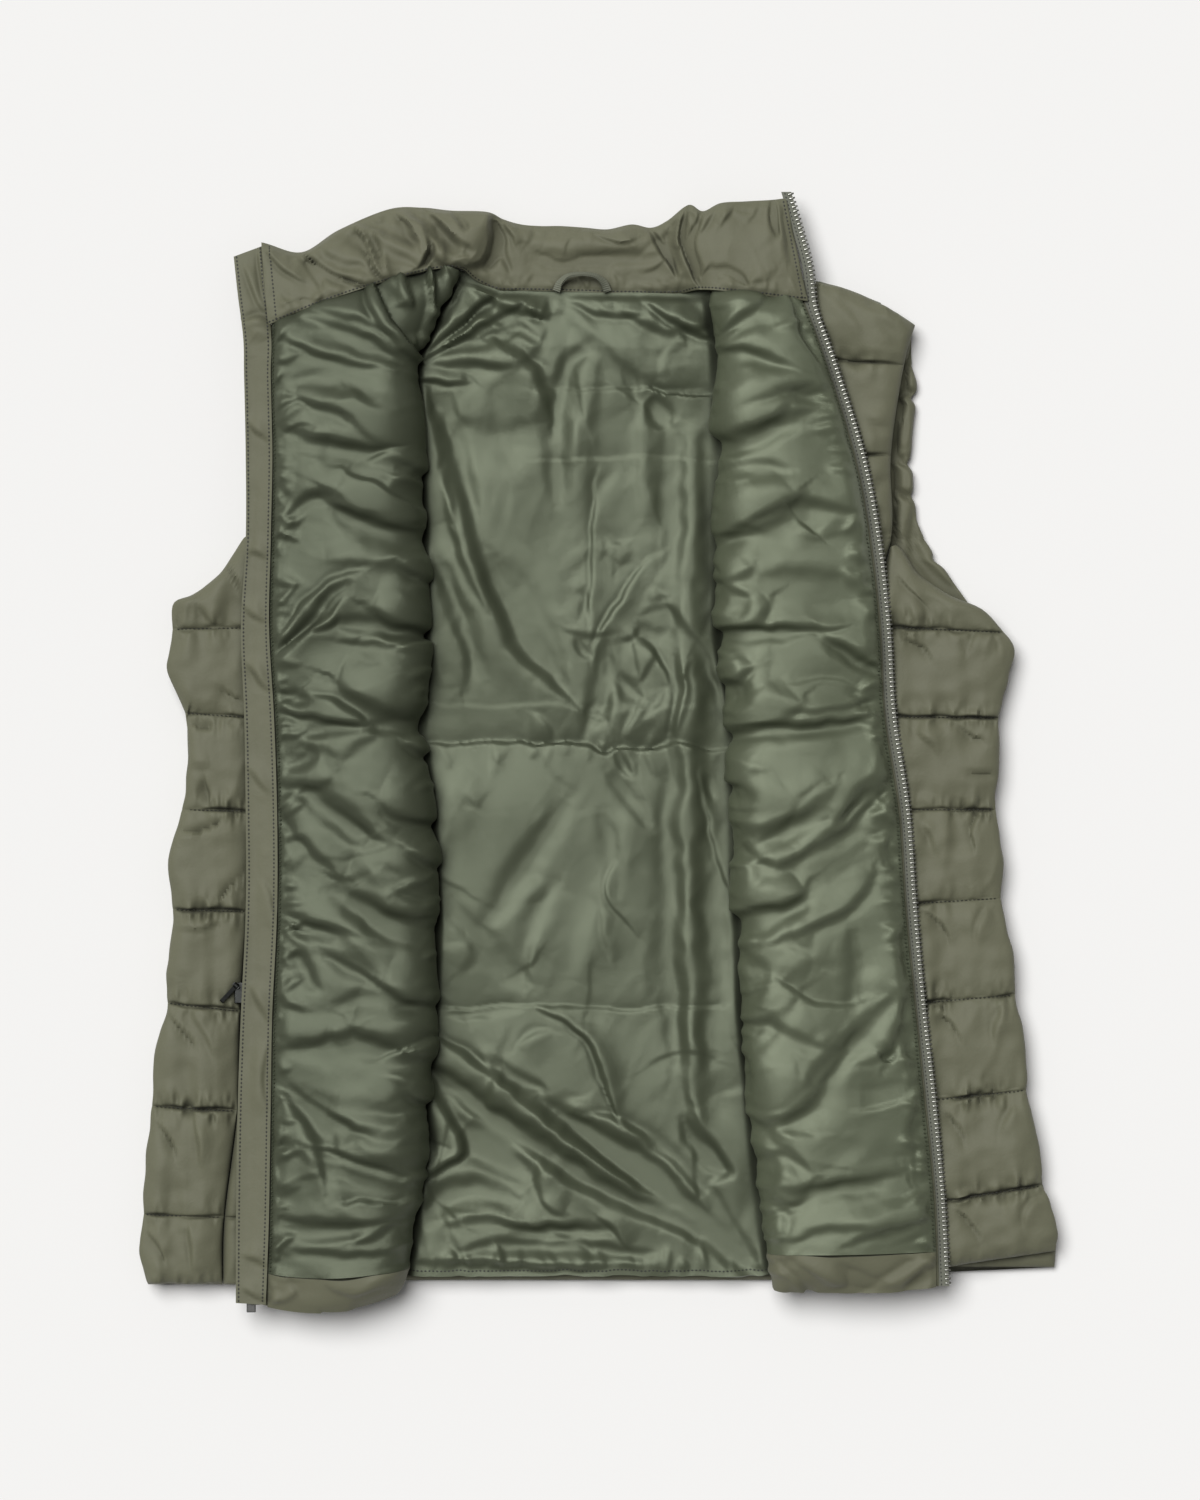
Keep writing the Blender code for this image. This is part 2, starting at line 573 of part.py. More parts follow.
def zip_ring(inner_x, teeth_x, y, z):
    """Section of a zip half: flat tape from inner_x to the bead that the teeth fill."""
    outward = 1 if teeth_x > inner_x else -1
    middle = teeth_x - outward * BEAD_WIDTH / 2
    half, flat = BEAD_WIDTH / 2 * outward, BEAD_WIDTH / 3 * outward
    tape, high = TAPE_WALL / 2, BEAD_HEIGHT / 2
    section = [(inner_x, tape), (middle - half, tape), (middle - flat, high), (middle + flat, high)]
    section += [(middle + half, tape), (middle + half, -tape), (middle + flat, -high)]
    section += [(middle - flat, -high), (middle - half, -tape), (inner_x, -tape)]
    return [(x, y, z + rise) for x, rise in section]


def make_left_zip(material):
    rings = []
    for line in [-1, -0.8, -0.6, -0.4, -0.2] + lines_between(0, LAST_LINE):
        teeth_x, y, z = (curve(LEFT_ZIP, column, line) for column in "xyz")
        inner_x = teeth_x - ZIP_WIDTH
        if line >= 0:
            inner_x = curve(LEFT_FRONT, "edge_x", line) + 2 * GAP
            y = curve(LEFT_FRONT, "edge_y", line)
        rings.append(zip_ring(inner_x, teeth_x, y, z))
    return loft("left_zip", rings, material)


def make_right_zip(material):
    """The half under the storm flap. Its bead ends above the slider."""
    rings = []
    for line in [-0.97, -0.75, -0.5, -0.25] + lines_between(0, TEETH_END):
        teeth_x = curve(FLAP, "free_x", line) + TEETH_UNDER_FLAP
        y = curve(FLAP, "free_y", line)
        z = curve(FLAP, "z", line) - BEAD_HEIGHT / 2 - GAP
        inner_x = teeth_x + ZIP_WIDTH
        if line >= 0:
            inner_x = curve(RIGHT_FRONT, "edge_x", line) - 2 * GAP
        rings.append(zip_ring(inner_x, teeth_x, y, z))
    return loft("right_zip", rings, material)


def make_collar(material):
    rings = []
    across = COLLAR_SECTION["across"]
    walls = COLLAR_SECTION["wall"]
    for line in lines_between(0, COLLAR["line"][-1], (0.0,)):
        seam = np.array([curve(COLLAR, c, line) for c in ("seam_x", "seam_y", "seam_z")])
        top = np.array([curve(COLLAR, c, line) for c in ("top_x", "top_y", "top_z")])
        from_end = min(line, COLLAR["line"][-1] - line)
        full = mix(0.5, 1, math.sqrt(1 - (1 - min(from_end, 1)) ** 2))
        upper, under = [], []
        for share, wall in zip(across, walls):
            x, y, z = mix(seam, top, share)
            z = max(z, wall * full / 2)
            upper.append((x, y, z + wall * full / 2))
            under.append((x, y, z - wall * full / 2))
        rings.append(upper + under[::-1])
    return loft("collar", rings, material)


def make_loop(material):
    rings = []
    for line in np.linspace(0, LOOP["line"][-1], 19):
        here, there = max(line - 0.1, 0), min(line + 0.1, LOOP["line"][-1])
        run = np.array([curve(LOOP, c, there) - curve(LOOP, c, here) for c in "xy"])
        aside = np.array([-run[1], run[0]]) / np.linalg.norm(run) * LOOP_WIDTH / 2
        x, y, z = (curve(LOOP, c, line) for c in "xyz")
        half = LOOP_WALL / 2
        corners = ((-1, -half), (1, -half), (1, half), (-1, half))
        rings.append([(x + aside[0] * s, y + aside[1] * s, z + rise) for s, rise in corners])
    return loft("hanger_loop", rings, material)


def block(name, size, at, bevel, material):
    """A box with rounded edges, its middle at a point."""
    bpy.ops.mesh.primitive_cube_add(size=1)
    made = bpy.context.object
    made.name = made.data.name = name
    made.data.transform(Matrix.Diagonal((*(s * MM for s in size), 1)))
    made.location = [c * MM for c in at]
    rounding = made.modifiers.new("round", "BEVEL")
    rounding.width = bevel * MM
    rounding.segments = 2
    made.data.materials.append(material)
    for collection in list(made.users_collection):
        collection.objects.unlink(made)
    bpy.data.collections["puffer_vest"].objects.link(made)
    return made


def hinge_matrix():
    """Frame of the tab: X along it, Z on its hinge, with the tab's slope at rest."""
    ahead = Vector((math.cos(TAB_HEADING), math.sin(TAB_HEADING), 0))
    hinge = ahead.cross(Vector((0, 0, 1)))
    along = ahead * math.cos(TAB_SLOPE) - Vector((0, 0, 1)) * math.sin(TAB_SLOPE)
    turned = Matrix((along, hinge.cross(along), hinge)).transposed().to_4x4()
    return Matrix.Translation(Vector(HINGE_AT) * MM) @ turned


def arc(radius, start, end, steps, middle=(0.0, 0.0)):
    angles = np.radians(np.linspace(start, end, steps))
    return [(middle[0] + radius * math.cos(a), middle[1] + radius * math.sin(a)) for a in angles]


def make_pull_tab(material):
    """A bar with an eye round the hinge pin, cut as a flat outline and extruded."""
    half = TAB_WALL / 2
    meet = math.degrees(math.asin(half / EYE_RADIUS))
    outline = arc(EYE_RADIUS, meet, 360 - meet, 16)
    outline += arc(half, -90, 90, 6, (TAB_LENGTH - half, 0))
    data = bpy.data.curves.new("pocket_pull", "CURVE")
    data.dimensions = "2D"
    data.fill_mode = "BOTH"
    data.extrude = TAB_WIDTH / 2 * MM
    for points in (outline, arc(EYE_HOLE, 0, 330, 12)):
        spline = data.splines.new("POLY")
        spline.points.add(len(points) - 1)
        for place, (x, y) in zip(spline.points, points):
            place.co = (x * MM, y * MM, 0, 1)
        spline.use_cyclic_u = True
    data.materials.append(material)
    made = bpy.data.objects.new("pocket_pull", data)
    made.matrix_world = hinge_matrix()
    bpy.data.collections["puffer_vest"].objects.link(made)
    return made


def hidden_cutter(made):
    """A shape that another one takes in, kept out of the result."""
    for collection in list(made.users_collection):
        collection.objects.unlink(made)
    bpy.data.collections["cutters"].objects.link(made)
    made.hide_render = True
    made.display_type = "WIRE"
    return made


def make_pocket_slider(material):
    """The slider's body with two lugs and the hinge pin between them."""
    body = block("pocket_slider", POCKET_BODY_SIZE, POCKET_BODY_AT, 0.6, material)
    frame = hinge_matrix()
    flat = Matrix.Rotation(TAB_SLOPE, 4, "Z")
    body_top = POCKET_BODY_AT[2] + POCKET_BODY_SIZE[2] / 2
    reach = PIN_RADIUS + 0.4
    drop = HINGE_AT[2] - body_top + 0.5
    offset = TAB_WIDTH / 2 + GAP + LUG_WALL / 2
    for i, side in enumerate((-1, 1)):
        size = (2 * LUG_HALF, reach + drop, LUG_WALL)
        lug = block(f"lug_{i}", size, (0, 0, 0), 0.15, material)
        middle = Vector((0, (reach - drop) / 2, side * offset)) * MM
        lug.matrix_world = frame @ flat @ Matrix.Translation(middle)
        add_shape(body, hidden_cutter(lug))
    bpy.ops.mesh.primitive_cylinder_add(vertices=16, radius=PIN_RADIUS * MM, depth=(2 * offset + 0.2) * MM)
    pin = bpy.context.object
    pin.name = "pin"
    pin.matrix_world = frame
    add_shape(body, hidden_cutter(pin))
    return body


def add_shape(body, other):
    union = body.modifiers.new(other.name, "BOOLEAN")
    union.operation = "UNION"
    union.object = other
    union.solver = "EXACT"


def surface(name, colour, roughness, metallic=0.0):
    made = bpy.data.materials.new(name)
    made.use_nodes = True
    shader = made.node_tree.nodes["Principled BSDF"]
    shader.inputs["Base Color"].default_value = (*colour, 1)
    shader.inputs["Roughness"].default_value = roughness
    shader.inputs["Metallic"].default_value = metallic
    return made


def clear_scene():
    for old in list(bpy.data.objects):
        bpy.data.objects.remove(old, do_unlink=True)
    for name in ("puffer_vest", "cutters"):
        made = bpy.data.collections.new(name)
        bpy.context.scene.collection.children.link(made)


def main():
    clear_scene()
    shell = surface("shell_cloth", (0.168, 0.17, 0.118), 0.75)
    satin = surface("lining_satin", (0.15, 0.185, 0.13), 0.42)
    tape = surface("zip_tape", (0.085, 0.095, 0.07), 0.8)
    twill = surface("loop_tape", (0.12, 0.135, 0.09), 0.7)
    steel = surface("zip_metal", (0.42, 0.43, 0.4), 0.35, 1.0)
    dark = surface("pull_metal", (0.05, 0.052, 0.05), 0.35, 1.0)
    make_back_shell(shell)
    make_back_lining(satin)
    for name, front, side, facing_line in (
        ("right", RIGHT_FRONT, RIGHT_SIDE, 10.62),
        ("left", LEFT_FRONT, LEFT_SIDE, 10.58),
    ):
        make_front_shell(f"{name}_front_shell", front, shell)
        make_side_shell(f"{name}_side_shell", front, side, shell)
        lining_lines = lines_between(LINING_START, facing_line - 0.01)
        facing_lines = [facing_line, mix(facing_line, LAST_LINE, 0.5), LAST_LINE - 0.05, LAST_LINE]
        make_skin(f"{name}_front_lining", front, lining_lines, LINING_WALL, satin)
        make_skin(f"{name}_hem_facing", front, facing_lines, FACING_WALL, shell)
    make_storm_flap(shell)
    make_left_zip(tape)
    make_right_zip(tape)
    block("zip_box", ZIP_BOX_SIZE, ZIP_BOX_AT, 0.5, steel)
    block("zip_slider", ZIP_SLIDER_SIZE, ZIP_SLIDER_AT, 0.8, steel)
    make_collar(shell)
    make_loop(twill)
    make_pocket_slider(steel)
    make_pull_tab(dark)


main()
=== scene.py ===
"""A quilted puffer vest, laid on its back with both fronts folded open: its cloth in full detail.

Tables are in millimetres. A line number runs down the garment: 0 is the neck or shoulder
seam, 1 to 10 are quilt lines and 11 is the hem. Left and right are the wearer's, so the
right front is on the -X side.
"""

import math

import bmesh
import bpy
import numpy as np
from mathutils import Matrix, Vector


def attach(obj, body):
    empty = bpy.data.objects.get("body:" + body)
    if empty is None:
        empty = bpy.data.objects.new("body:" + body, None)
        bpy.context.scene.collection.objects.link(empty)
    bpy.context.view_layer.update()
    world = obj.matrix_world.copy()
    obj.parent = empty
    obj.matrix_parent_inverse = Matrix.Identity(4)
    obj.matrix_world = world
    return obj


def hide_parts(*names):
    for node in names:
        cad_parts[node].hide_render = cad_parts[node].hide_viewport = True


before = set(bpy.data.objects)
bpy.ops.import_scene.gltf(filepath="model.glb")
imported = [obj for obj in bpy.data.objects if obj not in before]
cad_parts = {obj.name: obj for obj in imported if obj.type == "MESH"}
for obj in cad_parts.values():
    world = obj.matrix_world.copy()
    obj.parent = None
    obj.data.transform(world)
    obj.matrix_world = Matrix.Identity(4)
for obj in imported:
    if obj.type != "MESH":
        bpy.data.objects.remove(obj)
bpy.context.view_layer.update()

# A millimetre in metres, the gap at a seam, a lining's gap over its shell, and the hem's line
MM = 0.001
GAP = 0.3
SKIN_GAP = 0.45
LAST_LINE = 11

# Walls and heights of the layers, from the floor up
BACK_TOP = 9.0
LINING_WALL = 1.5
BACK_LINING_BOTTOM = BACK_TOP + GAP
LOWER_BOTTOM = BACK_LINING_BOTTOM + LINING_WALL + GAP
TUCK_LIFT = LINING_WALL + SKIN_GAP
LOWER_PUFF = 10.5
SIDE_PUFF = 11.3
UPPER_BOTTOM = LOWER_BOTTOM + LOWER_PUFF + 0.8
ROLL_HEIGHTS = (37.0, 40.5, 41.0, 40.0, 37.5, 34.0, 30.0, 25.4)
FOLD_MID = 23.0
FOLD_RADIUS = 16.0
FOLD_QUARTER = FOLD_RADIUS * math.pi / 2
SLOT_END = 14.0
TUCK_LENGTH = 24.0
TUCK_RAMP = 6.0
TUCK_END = FOLD_RADIUS + TUCK_LENGTH + 2 + TUCK_RAMP
FACING_WALL = 1.5
FLAP_WALL = 1.8
FLAP_CLEARANCE = 1.5
FLAP_REACH = 4.0
ROLL_LEAST = 1.0

# Quilting: how deep a quilt line sinks, and how far it draws an edge in
LOWER_TROUGH = 3.4
ROLL_TROUGH = 3.0
TROUGH_AT_EDGE = 0.4
LINE_PULL = 1.8
# How the padding fills out from a rim, a seam and a panel's end
RIM_INSET = 2.5
SEAM_FULLNESS = 0.4
SEAM_ROUND = 15.0
END_PULL = 3.0
END_ROUND = 0.3
END_LEAST = 0.45


def table(columns, rows):
    """Named columns of numbers, one row to a line or a station."""
    values = np.array(rows, float)
    return {name: values[:, i] for i, name in enumerate(columns.split())}


FRONT_COLUMNS = "line fold_x fold_y edge_x edge_y seam_x seam_y lining_x roll_bow low_bow"

# fold: inner fold. edge: outer edge of the folded-back run. seam: outer end of the lower run,
# which is the shoulder and armhole down to line 3 and the princess seam below it.
RIGHT_FRONT = table(FRONT_COLUMNS, [
    (0, -88, 297, -209, 260, -194, 257, -202, 6, 0),
    (1, -116, 241, -208, 231, -185, 241, -202, 0, 0),
    (2, -115, 187, -207, 183, -183, 183, -201, 0, 0),
    (3, -112, 136, -208, 130, -201, 143, -202, 0, 0),
    (4, -111, 68, -209, 76, -208, 76, -203, 0, 0),
    (5, -112, 14, -208, 22, -213, 20, -200, 0, 0),
    (6, -107, -45, -206, -38, -215, -38, -198, 0, 0),
    (7, -103, -104, -206, -99, -218, -100, -198, 0, 0),
    (8, -105, -161, -208, -164, -222, -162, -201, 0, 0),
    (9, -112, -226, -209, -223, -224, -224, -202, 0, 0),
    (10, -116, -291, -210, -288, -232, -290, -203, -2, 0),
    (11, -123, -335, -210, -343, -233, -332, -205, -7, 0),
])
LEFT_FRONT = table(FRONT_COLUMNS, [
    (0, 71, 284, 128, 277, 197, 264, 127, 0, 17),
    (1, 76, 247, 141, 241, 190, 239, 140, 0, 0),
    (2, 78, 183, 159, 183, 182, 183, 158, 0, 0),
    (3, 78, 133, 169, 130, 182, 131, 168, 0, 0),
    (4, 78, 73, 175, 77, 166, 77, 174, 0, 0),
    (5, 85, 16, 178, 21, 172, 21, 177, 0, 0),
    (6, 87, -40, 187, -37, 177, -37, 186, 0, 0),
    (7, 89, -96, 191, -96, 181, -96, 190, 0, 0),
    (8, 92, -158, 197, -158, 185, -158, 196, 0, 0),
    (9, 98, -223, 203, -217, 189, -219, 202, 0, 0),
    (10, 104, -282, 209, -279, 193, -283, 208, 0, 0),
    (11, 110, -331, 211, -332, 197, -324, 210, -1, 0),
])
RIGHT_FRONT["outward"] = -1
LEFT_FRONT["outward"] = 1

# Outer edge of each side panel: its armhole to line 4, then the side seam
RIGHT_SIDE = table("line x y", [
    (3, -220, 132), (3.4, -237, 108), (3.7, -252, 96), (3.85, -263, 91),
    (4, -264, 75), (4.5, -267, 50), (5, -257, 23), (5.5, -255, -9), (6, -258, -37),
    (6.5, -267, -68), (7, -264, -99), (7.5, -267, -127), (8, -268, -157), (8.5, -275, -189),
    (9, -277, -221), (9.5, -281, -254), (10, -283, -288), (10.5, -285, -310), (11, -280, -332),
])
LEFT_SIDE = table("line x y", [
    (3.22, 191, 121), (3.35, 198, 111), (3.5, 206, 104), (3.7, 221, 95), (3.85, 240, 87),
    (4, 253, 73), (4.5, 254, 43), (5, 249, 20), (5.5, 249, -9), (6, 247, -37),
    (6.5, 251, -66), (7, 250, -92), (7.5, 257, -124), (8, 259, -152), (8.5, 265, -184),
    (9, 267, -211), (9.5, 273, -241), (10, 277, -270), (10.5, 284, -291), (11, 285, -311),
])

BACK_HEM = ((-225, -331), (-123, -330), (0, -330), (110, -330), (223, -322))
LEFT_BACK_ARMHOLE = (
    (243, 80), (231, 91), (221, 104), (209, 121), (198, 143), (195, 165), (195, 185),
    (196, 206), (198, 229), (195, 246),
)
LEFT_SHOULDER = ((199, 261), (192, 269), (181, 275), (171, 279), (154, 286), (136, 291), (115, 291))
BACK_NECK = ((92, 287), (70, 283), (42, 283), (8, 284), (-29, 285), (-62, 285), (-76, 291), (-90, 295))
RIGHT_SHOULDER = ((-115, 286), (-136, 279), (-171, 267), (-191, 258))
RIGHT_BACK_ARMHOLE = (
    (-195, 246), (-190, 220), (-186, 195), (-186, 172), (-192, 148), (-205, 124), (-222, 108),
    (-240, 97), (-255, 88),
)

# Back lining: its grid, its ends, and how far it stays inside the side seams
LINING_TOP = 283.0
LINING_FOOT = -326.0
LINING_RISE = 0.8
LINING_FOOT_CURVE = ((110, 0), (223, 8), (285, 19))
LINING_SIDE = 8.0
ARMHOLE_TOP = 244.0

# Storm flap: sewn edge, free edge and the height of the free edge
FLAP = table("line sewn_x sewn_y free_x free_y z", [
    (-1, -207.2, 313, -226, 306, 16.5), (-0.5, -204.8, 286, -223, 281, 21.5),
    (0, -202, 260, -220, 260, 25.3), (1, -202, 231, -219, 231, 25.3),
    (2, -201, 183, -218, 183, 25.3), (3, -202, 130, -218, 130, 25.3),
    (4, -203, 76, -221, 76, 25.3), (5, -200, 22, -219, 22, 25.3),
    (6, -198, -38, -218, -38, 25.3), (7, -198, -99, -218, -99, 25.3),
    (8, -201, -164, -221, -164, 25.3), (9, -202, -223, -223, -223, 25.3),
    (10, -203, -288, -224, -288, 25.6), (11, -205, -343, -224, -342, 27.0),
])

# Left zip half: outer line of the teeth, from the collar's top to the hem
LEFT_ZIP = table("line x y z", [
    (-1, 121, 346, 20.0), (-0.67, 128, 322, 21.0), (-0.33, 134, 299, 22.5), (0, 136.3, 277, 24.0),
    (1, 148.5, 241, 24.0), (2, 166.5, 183, 24.0), (3, 176.5, 130, 24.0), (4, 182.3, 77, 24.0),
    (5, 185.8, 21, 24.0), (6, 194.3, -37, 24.0), (7, 198.5, -96, 24.0), (8, 204, -158, 24.0),
    (9, 210.5, -217, 24.0), (10, 216, -279, 24.0), (11, 218.8, -332, 24.0),
])
# Zip halves: a half's width, the teeth's height, how far the right teeth lie under the storm flap
# and where they start and end, and how far the middle of each half's teeth is inside their line
ZIP_WIDTH = 7.4
BEAD_HEIGHT = 2.6
TEETH_UNDER_FLAP = 2.0
TEETH_START = -0.98
TEETH_END = 10.76
LEFT_TEETH_INSET = 1.9
RIGHT_TEETH_INSET = 1.4

# Collar: seam edge and top edge, from the right front's end round the neck to the left's
COLLAR = table("line seam_x seam_y seam_z top_x top_y top_z", [
    (0, -201.8, 264.6, 27.5, -206.4, 315, 17), (1, -177, 276, 30, -184, 309, 15),
    (2, -154, 284, 31, -161, 323, 13), (3, -130, 291.5, 30, -130, 336, 11),
    (4, -113, 296, 28, -109, 337, 11), (5, -98, 299.5, 25, -91, 335, 13),
    (6, -84, 299.5, 21, -69, 334, 15), (7, -75, 293, 13, -59, 330, 9),
    (8, -62, 287.4, 9, -48, 327, 7), (9, -47, 287, 8, -36, 326, 6.5),
    (10, -29, 286.7, 8, -23, 326, 6.5), (11, -8, 286.2, 8, -8, 325, 6.5),
    (12, 8, 285.6, 8, 6, 324, 6.5), (13, 26, 285.2, 8, 21, 327, 6.5),
    (14, 42, 285, 8, 33, 325, 6.5), (15, 52, 285.4, 11, 43, 329, 10),
    (16, 61, 286.8, 19, 56, 338, 18), (17, 71, 286.2, 26, 65, 334, 20),
    (18, 85, 284.6, 28, 76, 339, 20), (19, 100, 282.8, 28, 91, 340, 20),
    (20, 115, 280.8, 27, 108, 341, 20), (21, 127, 279.4, 25.5, 114, 342, 19.5),
])
COLLAR_SECTION = table("across wall", [
    (0.0, 3.0), (0.08, 6.0), (0.25, 9.5), (0.5, 12.0), (0.75, 11.5), (0.93, 7.5), (1.0, 2.5),
])

# Hanger loop: the middle of its tape
LOOP = table("line x y z", [
    (0, -26.0, 285.0, 11.75), (1, -23.8, 290.4, 13.2), (2, -18.5, 294.6, 14.8),
    (3, -10, 295.8, 15.4), (4, -1.5, 294.6, 14.8), (5, 3.8, 290.4, 13.2), (6, 6.0, 284.6, 11.75),
])
LOOP_WIDTH = 4.6
LOOP_WALL = 1.2

# How far a lining stands off its padding, and the height past which its folds level off
LINING_LIFT = 2.4
BACK_LIFT = 4.2
FOLD_CEILING = 9.0
# Section of a crease, as shares of its width: its steep side at an end and what the middle adds,
# its flat side against the steep one and what leaning adds, its crest, and how far it is followed
STEEP_AT_END = 0.55
STEEP_GAIN = 0.5
FLAT_SIDE = 1.3
SOFT_SIDE = 2.2
CREST_ROUND = 0.4
CREASE_REACH = 10.0
# As shares of the steep side: a groove, a leaning groove's steep side, and the hollow beside a
# ridge that leans, whose depth is a share of the ridge
GROOVE_SPREAD = 1.25
SLIT_SPREAD = 0.3
HOLLOW_DEPTH = 0.4
HOLLOW_PLACE = 1.9
HOLLOW_SPREAD = 1.2
HOLLOW_REACH = 5.0
# Random heights: cells of their table, and where it starts, far off so that no cell is negative
NOISE_CELLS = 64
NOISE_ORIGIN = (3000.3, 3000.7)
# How folds wander off their paths: height and size of each shift, and its seed
WANDER = ((2.3, 26), (1.1, 9))
WANDER_SEED = 70
# Crumples: how much of the cloth has them, in patches of what size, their height and round crest
CRUMPLE_PRESENT = 0.55
CRUMPLE_PATCH = 48
CRUMPLE_LEVEL = 0.55
CRUMPLE_CREST = 0.004
# Quilting: how far apart its lines are, and the depth and width of a line's groove
CHANNEL = 58.0
GROOVE_DEPTH = 3.0
GROOVE_WIDTH = 1.1
# Puckers beside a quilt line: heights and reaches of the short and the long ones
SHORT_PUCKERS = (2.8, 8.0)
LONG_PUCKERS = (2.4, 26.0)
# How much closer together the rows are made at quilt lines
SIDE_CROWDING = 0.125
FRONT_CROWDING = 0.12
# How far quilt lines draw a side panel's edge in, how far the collar laps the linings, and how
# low its seam edge may lie
SIDE_PULL = 0.6
NECK_OVERLAP = 1.6
NECK_LEVEL = 10.4
# The collar's wall at its two ends, its end edges' slant, how far its folds go down and up, and
# its creases' strength
COLLAR_END_WALL = 0.5
COLLAR_END_SLANT = 2.5
COLLAR_END_REACH = 0.3
COLLAR_FOLDS = (-2.5, 6.0)
COLLAR_RELIEF = 1.9
# Height of the gathers at the front linings' folds and at their outer seams
FOLD_GATHERS = {"right": 1.4, "left": 1.6}
SEAM_GATHERS = {"right": 1.9, "left": 1.9}
# How far the fronts' rolls sink at the neck, and over how many lines
NECK_DIP = 8.0
NECK_DIP_LINES = 0.75
# How far the back lining stays clear of the armholes
ARMHOLE_INSET = 20.0
# Where the left armhole's far rim is pinched, and how deep, then a pinch's width and reach
RIM_PINCHES = ((219.0, 2.2), (178.0, 2.0), (158.0, 1.4), (118.0, 1.8))
PINCH_WIDTH = 3.2
PINCH_REACH = 16.0
# Groove of the armholes' rims: how far outside a front's seam, depth, width, and where it ends
RIM_GAP = 2.6
RIM_GROOVE = 4.0
RIM_GROOVE_WIDTH = 1.9
RIM_GROOVE_FOOT = 108.0
# Back shell: its top and foot, the top of its armholes, the height of its rim, how much its rows
# are drawn to both ends, and how far its line numbers keep inside the quilting's ends
BACK_SHELL_TOP = 275.0
BACK_SHELL_FOOT = -331.0
ARMHOLE_END = 246.0
BACK_MIDDLE = 4.5
BACK_CROWDING = 0.35
BACK_LINE_MARGIN = 0.02
# Its padding: height over the rim, depth of a quilt line, round of a rim, and limits of its height
BACK_PUFF = 4.4
BACK_TROUGH = 1.8
BACK_ROUND = 5.0
BACK_RAISED = (0.4, 5.2)
# Its underside: how far it lifts off the floor at a quilt line, and its small wrinkles
FLOOR_LIFT = 1.3
FLOOR_WRINKLE = 0.25
# Back lining: how far it goes under each front, and the rise of its top edge beside the folds
LINING_UNDER = 10.0
NECK_RISE = 3.5
NECK_RISE_SPAN = (50.0, 110.0)
NECK_RISE_EASE = 12.0
# The loop's tape: its rise over the heights in its table, its tilt at the top, and the ribs
# across it
LOOP_RISE = 2.4
LOOP_TILT = math.radians(66)
LOOP_RIB_HEIGHT = 0.16
LOOP_RIB_PITCH = 1.3
LOOP_ROWS = 260
# The line where each front lining ends and its hem facing starts
FACING_LINES = {"right": 10.62, "left": 10.58}
# A front lining's upper side lies at least this far above the shell that it covers
LEAST_CLEAR = 0.5
# Its creases' strength, the height and size of its swells, and the height of its two crumples
FRONT_RELIEF = 1.15
FRONT_SWELL = (2.6, 46)
FRONT_CRUMPLES = (2.2, 0.5)
# Past how far from its fold a front lining no longer follows the quilting under it, and how often
# its bends are spread: there, round the fold, and along all of it
EVEN_FROM = 22.0
EVEN_PASSES = 90
ROUND_PASSES = 40
SOFT_PASSES = 14
# Band beside a zip where the lining dips to its seam, and the share of its folds left there
POCKET_WIDTH = 13.0
POCKET_LEAST = 0.12
# Zip teeth: their pitch, and the outline of a tooth's section in half widths and half heights
TOOTH_PITCH = 2.75
TOOTH_OUTLINE = ((-1, -0.6), (-1, 0.6), (-0.6, 1), (0.6, 1), (1, 0.6), (1, -0.6), (0.6, -1), (-0.6, -1))
# Sections of a zip tooth, from the tape to its tip: reach, half its length and half its height
TOOTH_SECTIONS = ((-1.6, 0.85, 1.0), (0.3, 0.8, 1.05), (1.1, 0.62, 0.9), (1.9, 0.5, 0.55))
# Zip tape: its cord, the bead under the teeth and its wall
TAPE_CORD = 0.6
TAPE_RISE = 0.35
TAPE_WALL = 0.9
# Stitches: pitch, then length, width and height of one, and the share of its height in the cloth
TOPSTITCH_PITCH = 2.45
SEAM_STITCH_PITCH = 2.6
TAPE_STITCH = (1.6, 0.8, 0.2)
TOPSTITCH = (1.75, 1.2, 0.25)
QUILT_STITCH = (2.0, 0.7, 0.2)
LINING_STITCH = (1.5, 1.9, 0.8)
STITCH_SUNK = 0.4

# Colours as linear values
SHELL_COLOUR = (0.131, 0.132, 0.084)
SATIN_COLOUR = (0.057, 0.065, 0.041)
SATIN_TINT = (0.9, 1.0, 0.74)
SATIN_IOR = 1.5
# Each front lining's satin colour is scaled up or down: painted sheen and painted shade for how the light
# catches that front
LINING_PAINTED_SHEEN = {"right": 0.82, "left": 1.4}
TAPE_COLOUR = (0.15, 0.155, 0.122)
LOOP_COLOUR = (0.15, 0.158, 0.117)
NICKEL_COLOUR = (0.12, 0.12, 0.115)
TEETH_COLOUR = (0.5, 0.5, 0.45)
GUNMETAL_COLOUR = (0.05, 0.052, 0.05)
THREAD_COLOUR = (0.016, 0.017, 0.012)
FLOOR_COLOUR = (0.86, 0.853, 0.84)

# How far off a fold shades its neighbours, from how much shade to how much, and the darkest
SHADE_REACH = 11.0
SHADE_RANGE = (0.3, 0.92)
SATIN_DARKEST = {"back": 0.2, "right": 0.2, "left": 0.36}
SHADE_DULLS = 0.35

# Light and camera. FRAME_HEIGHT is what the picture covers on the floor, CAMERA_ASIDE how far the
# camera stands off the middle, and CAMERA_LIFT how much higher it stands than the frame needs.
KEY_DIRECTION = (0.3, -0.38, -1.0)
KEY_STRENGTH = 3.13
KEY_SOFTNESS = 40.0
FILL_STRENGTH = 0.16
CAMERA_LENS = 135.0
CAMERA_SENSOR = 36.0
FRAME_HEIGHT = 930.0
CAMERA_ASIDE = 1.2
CAMERA_LIFT = 20.0
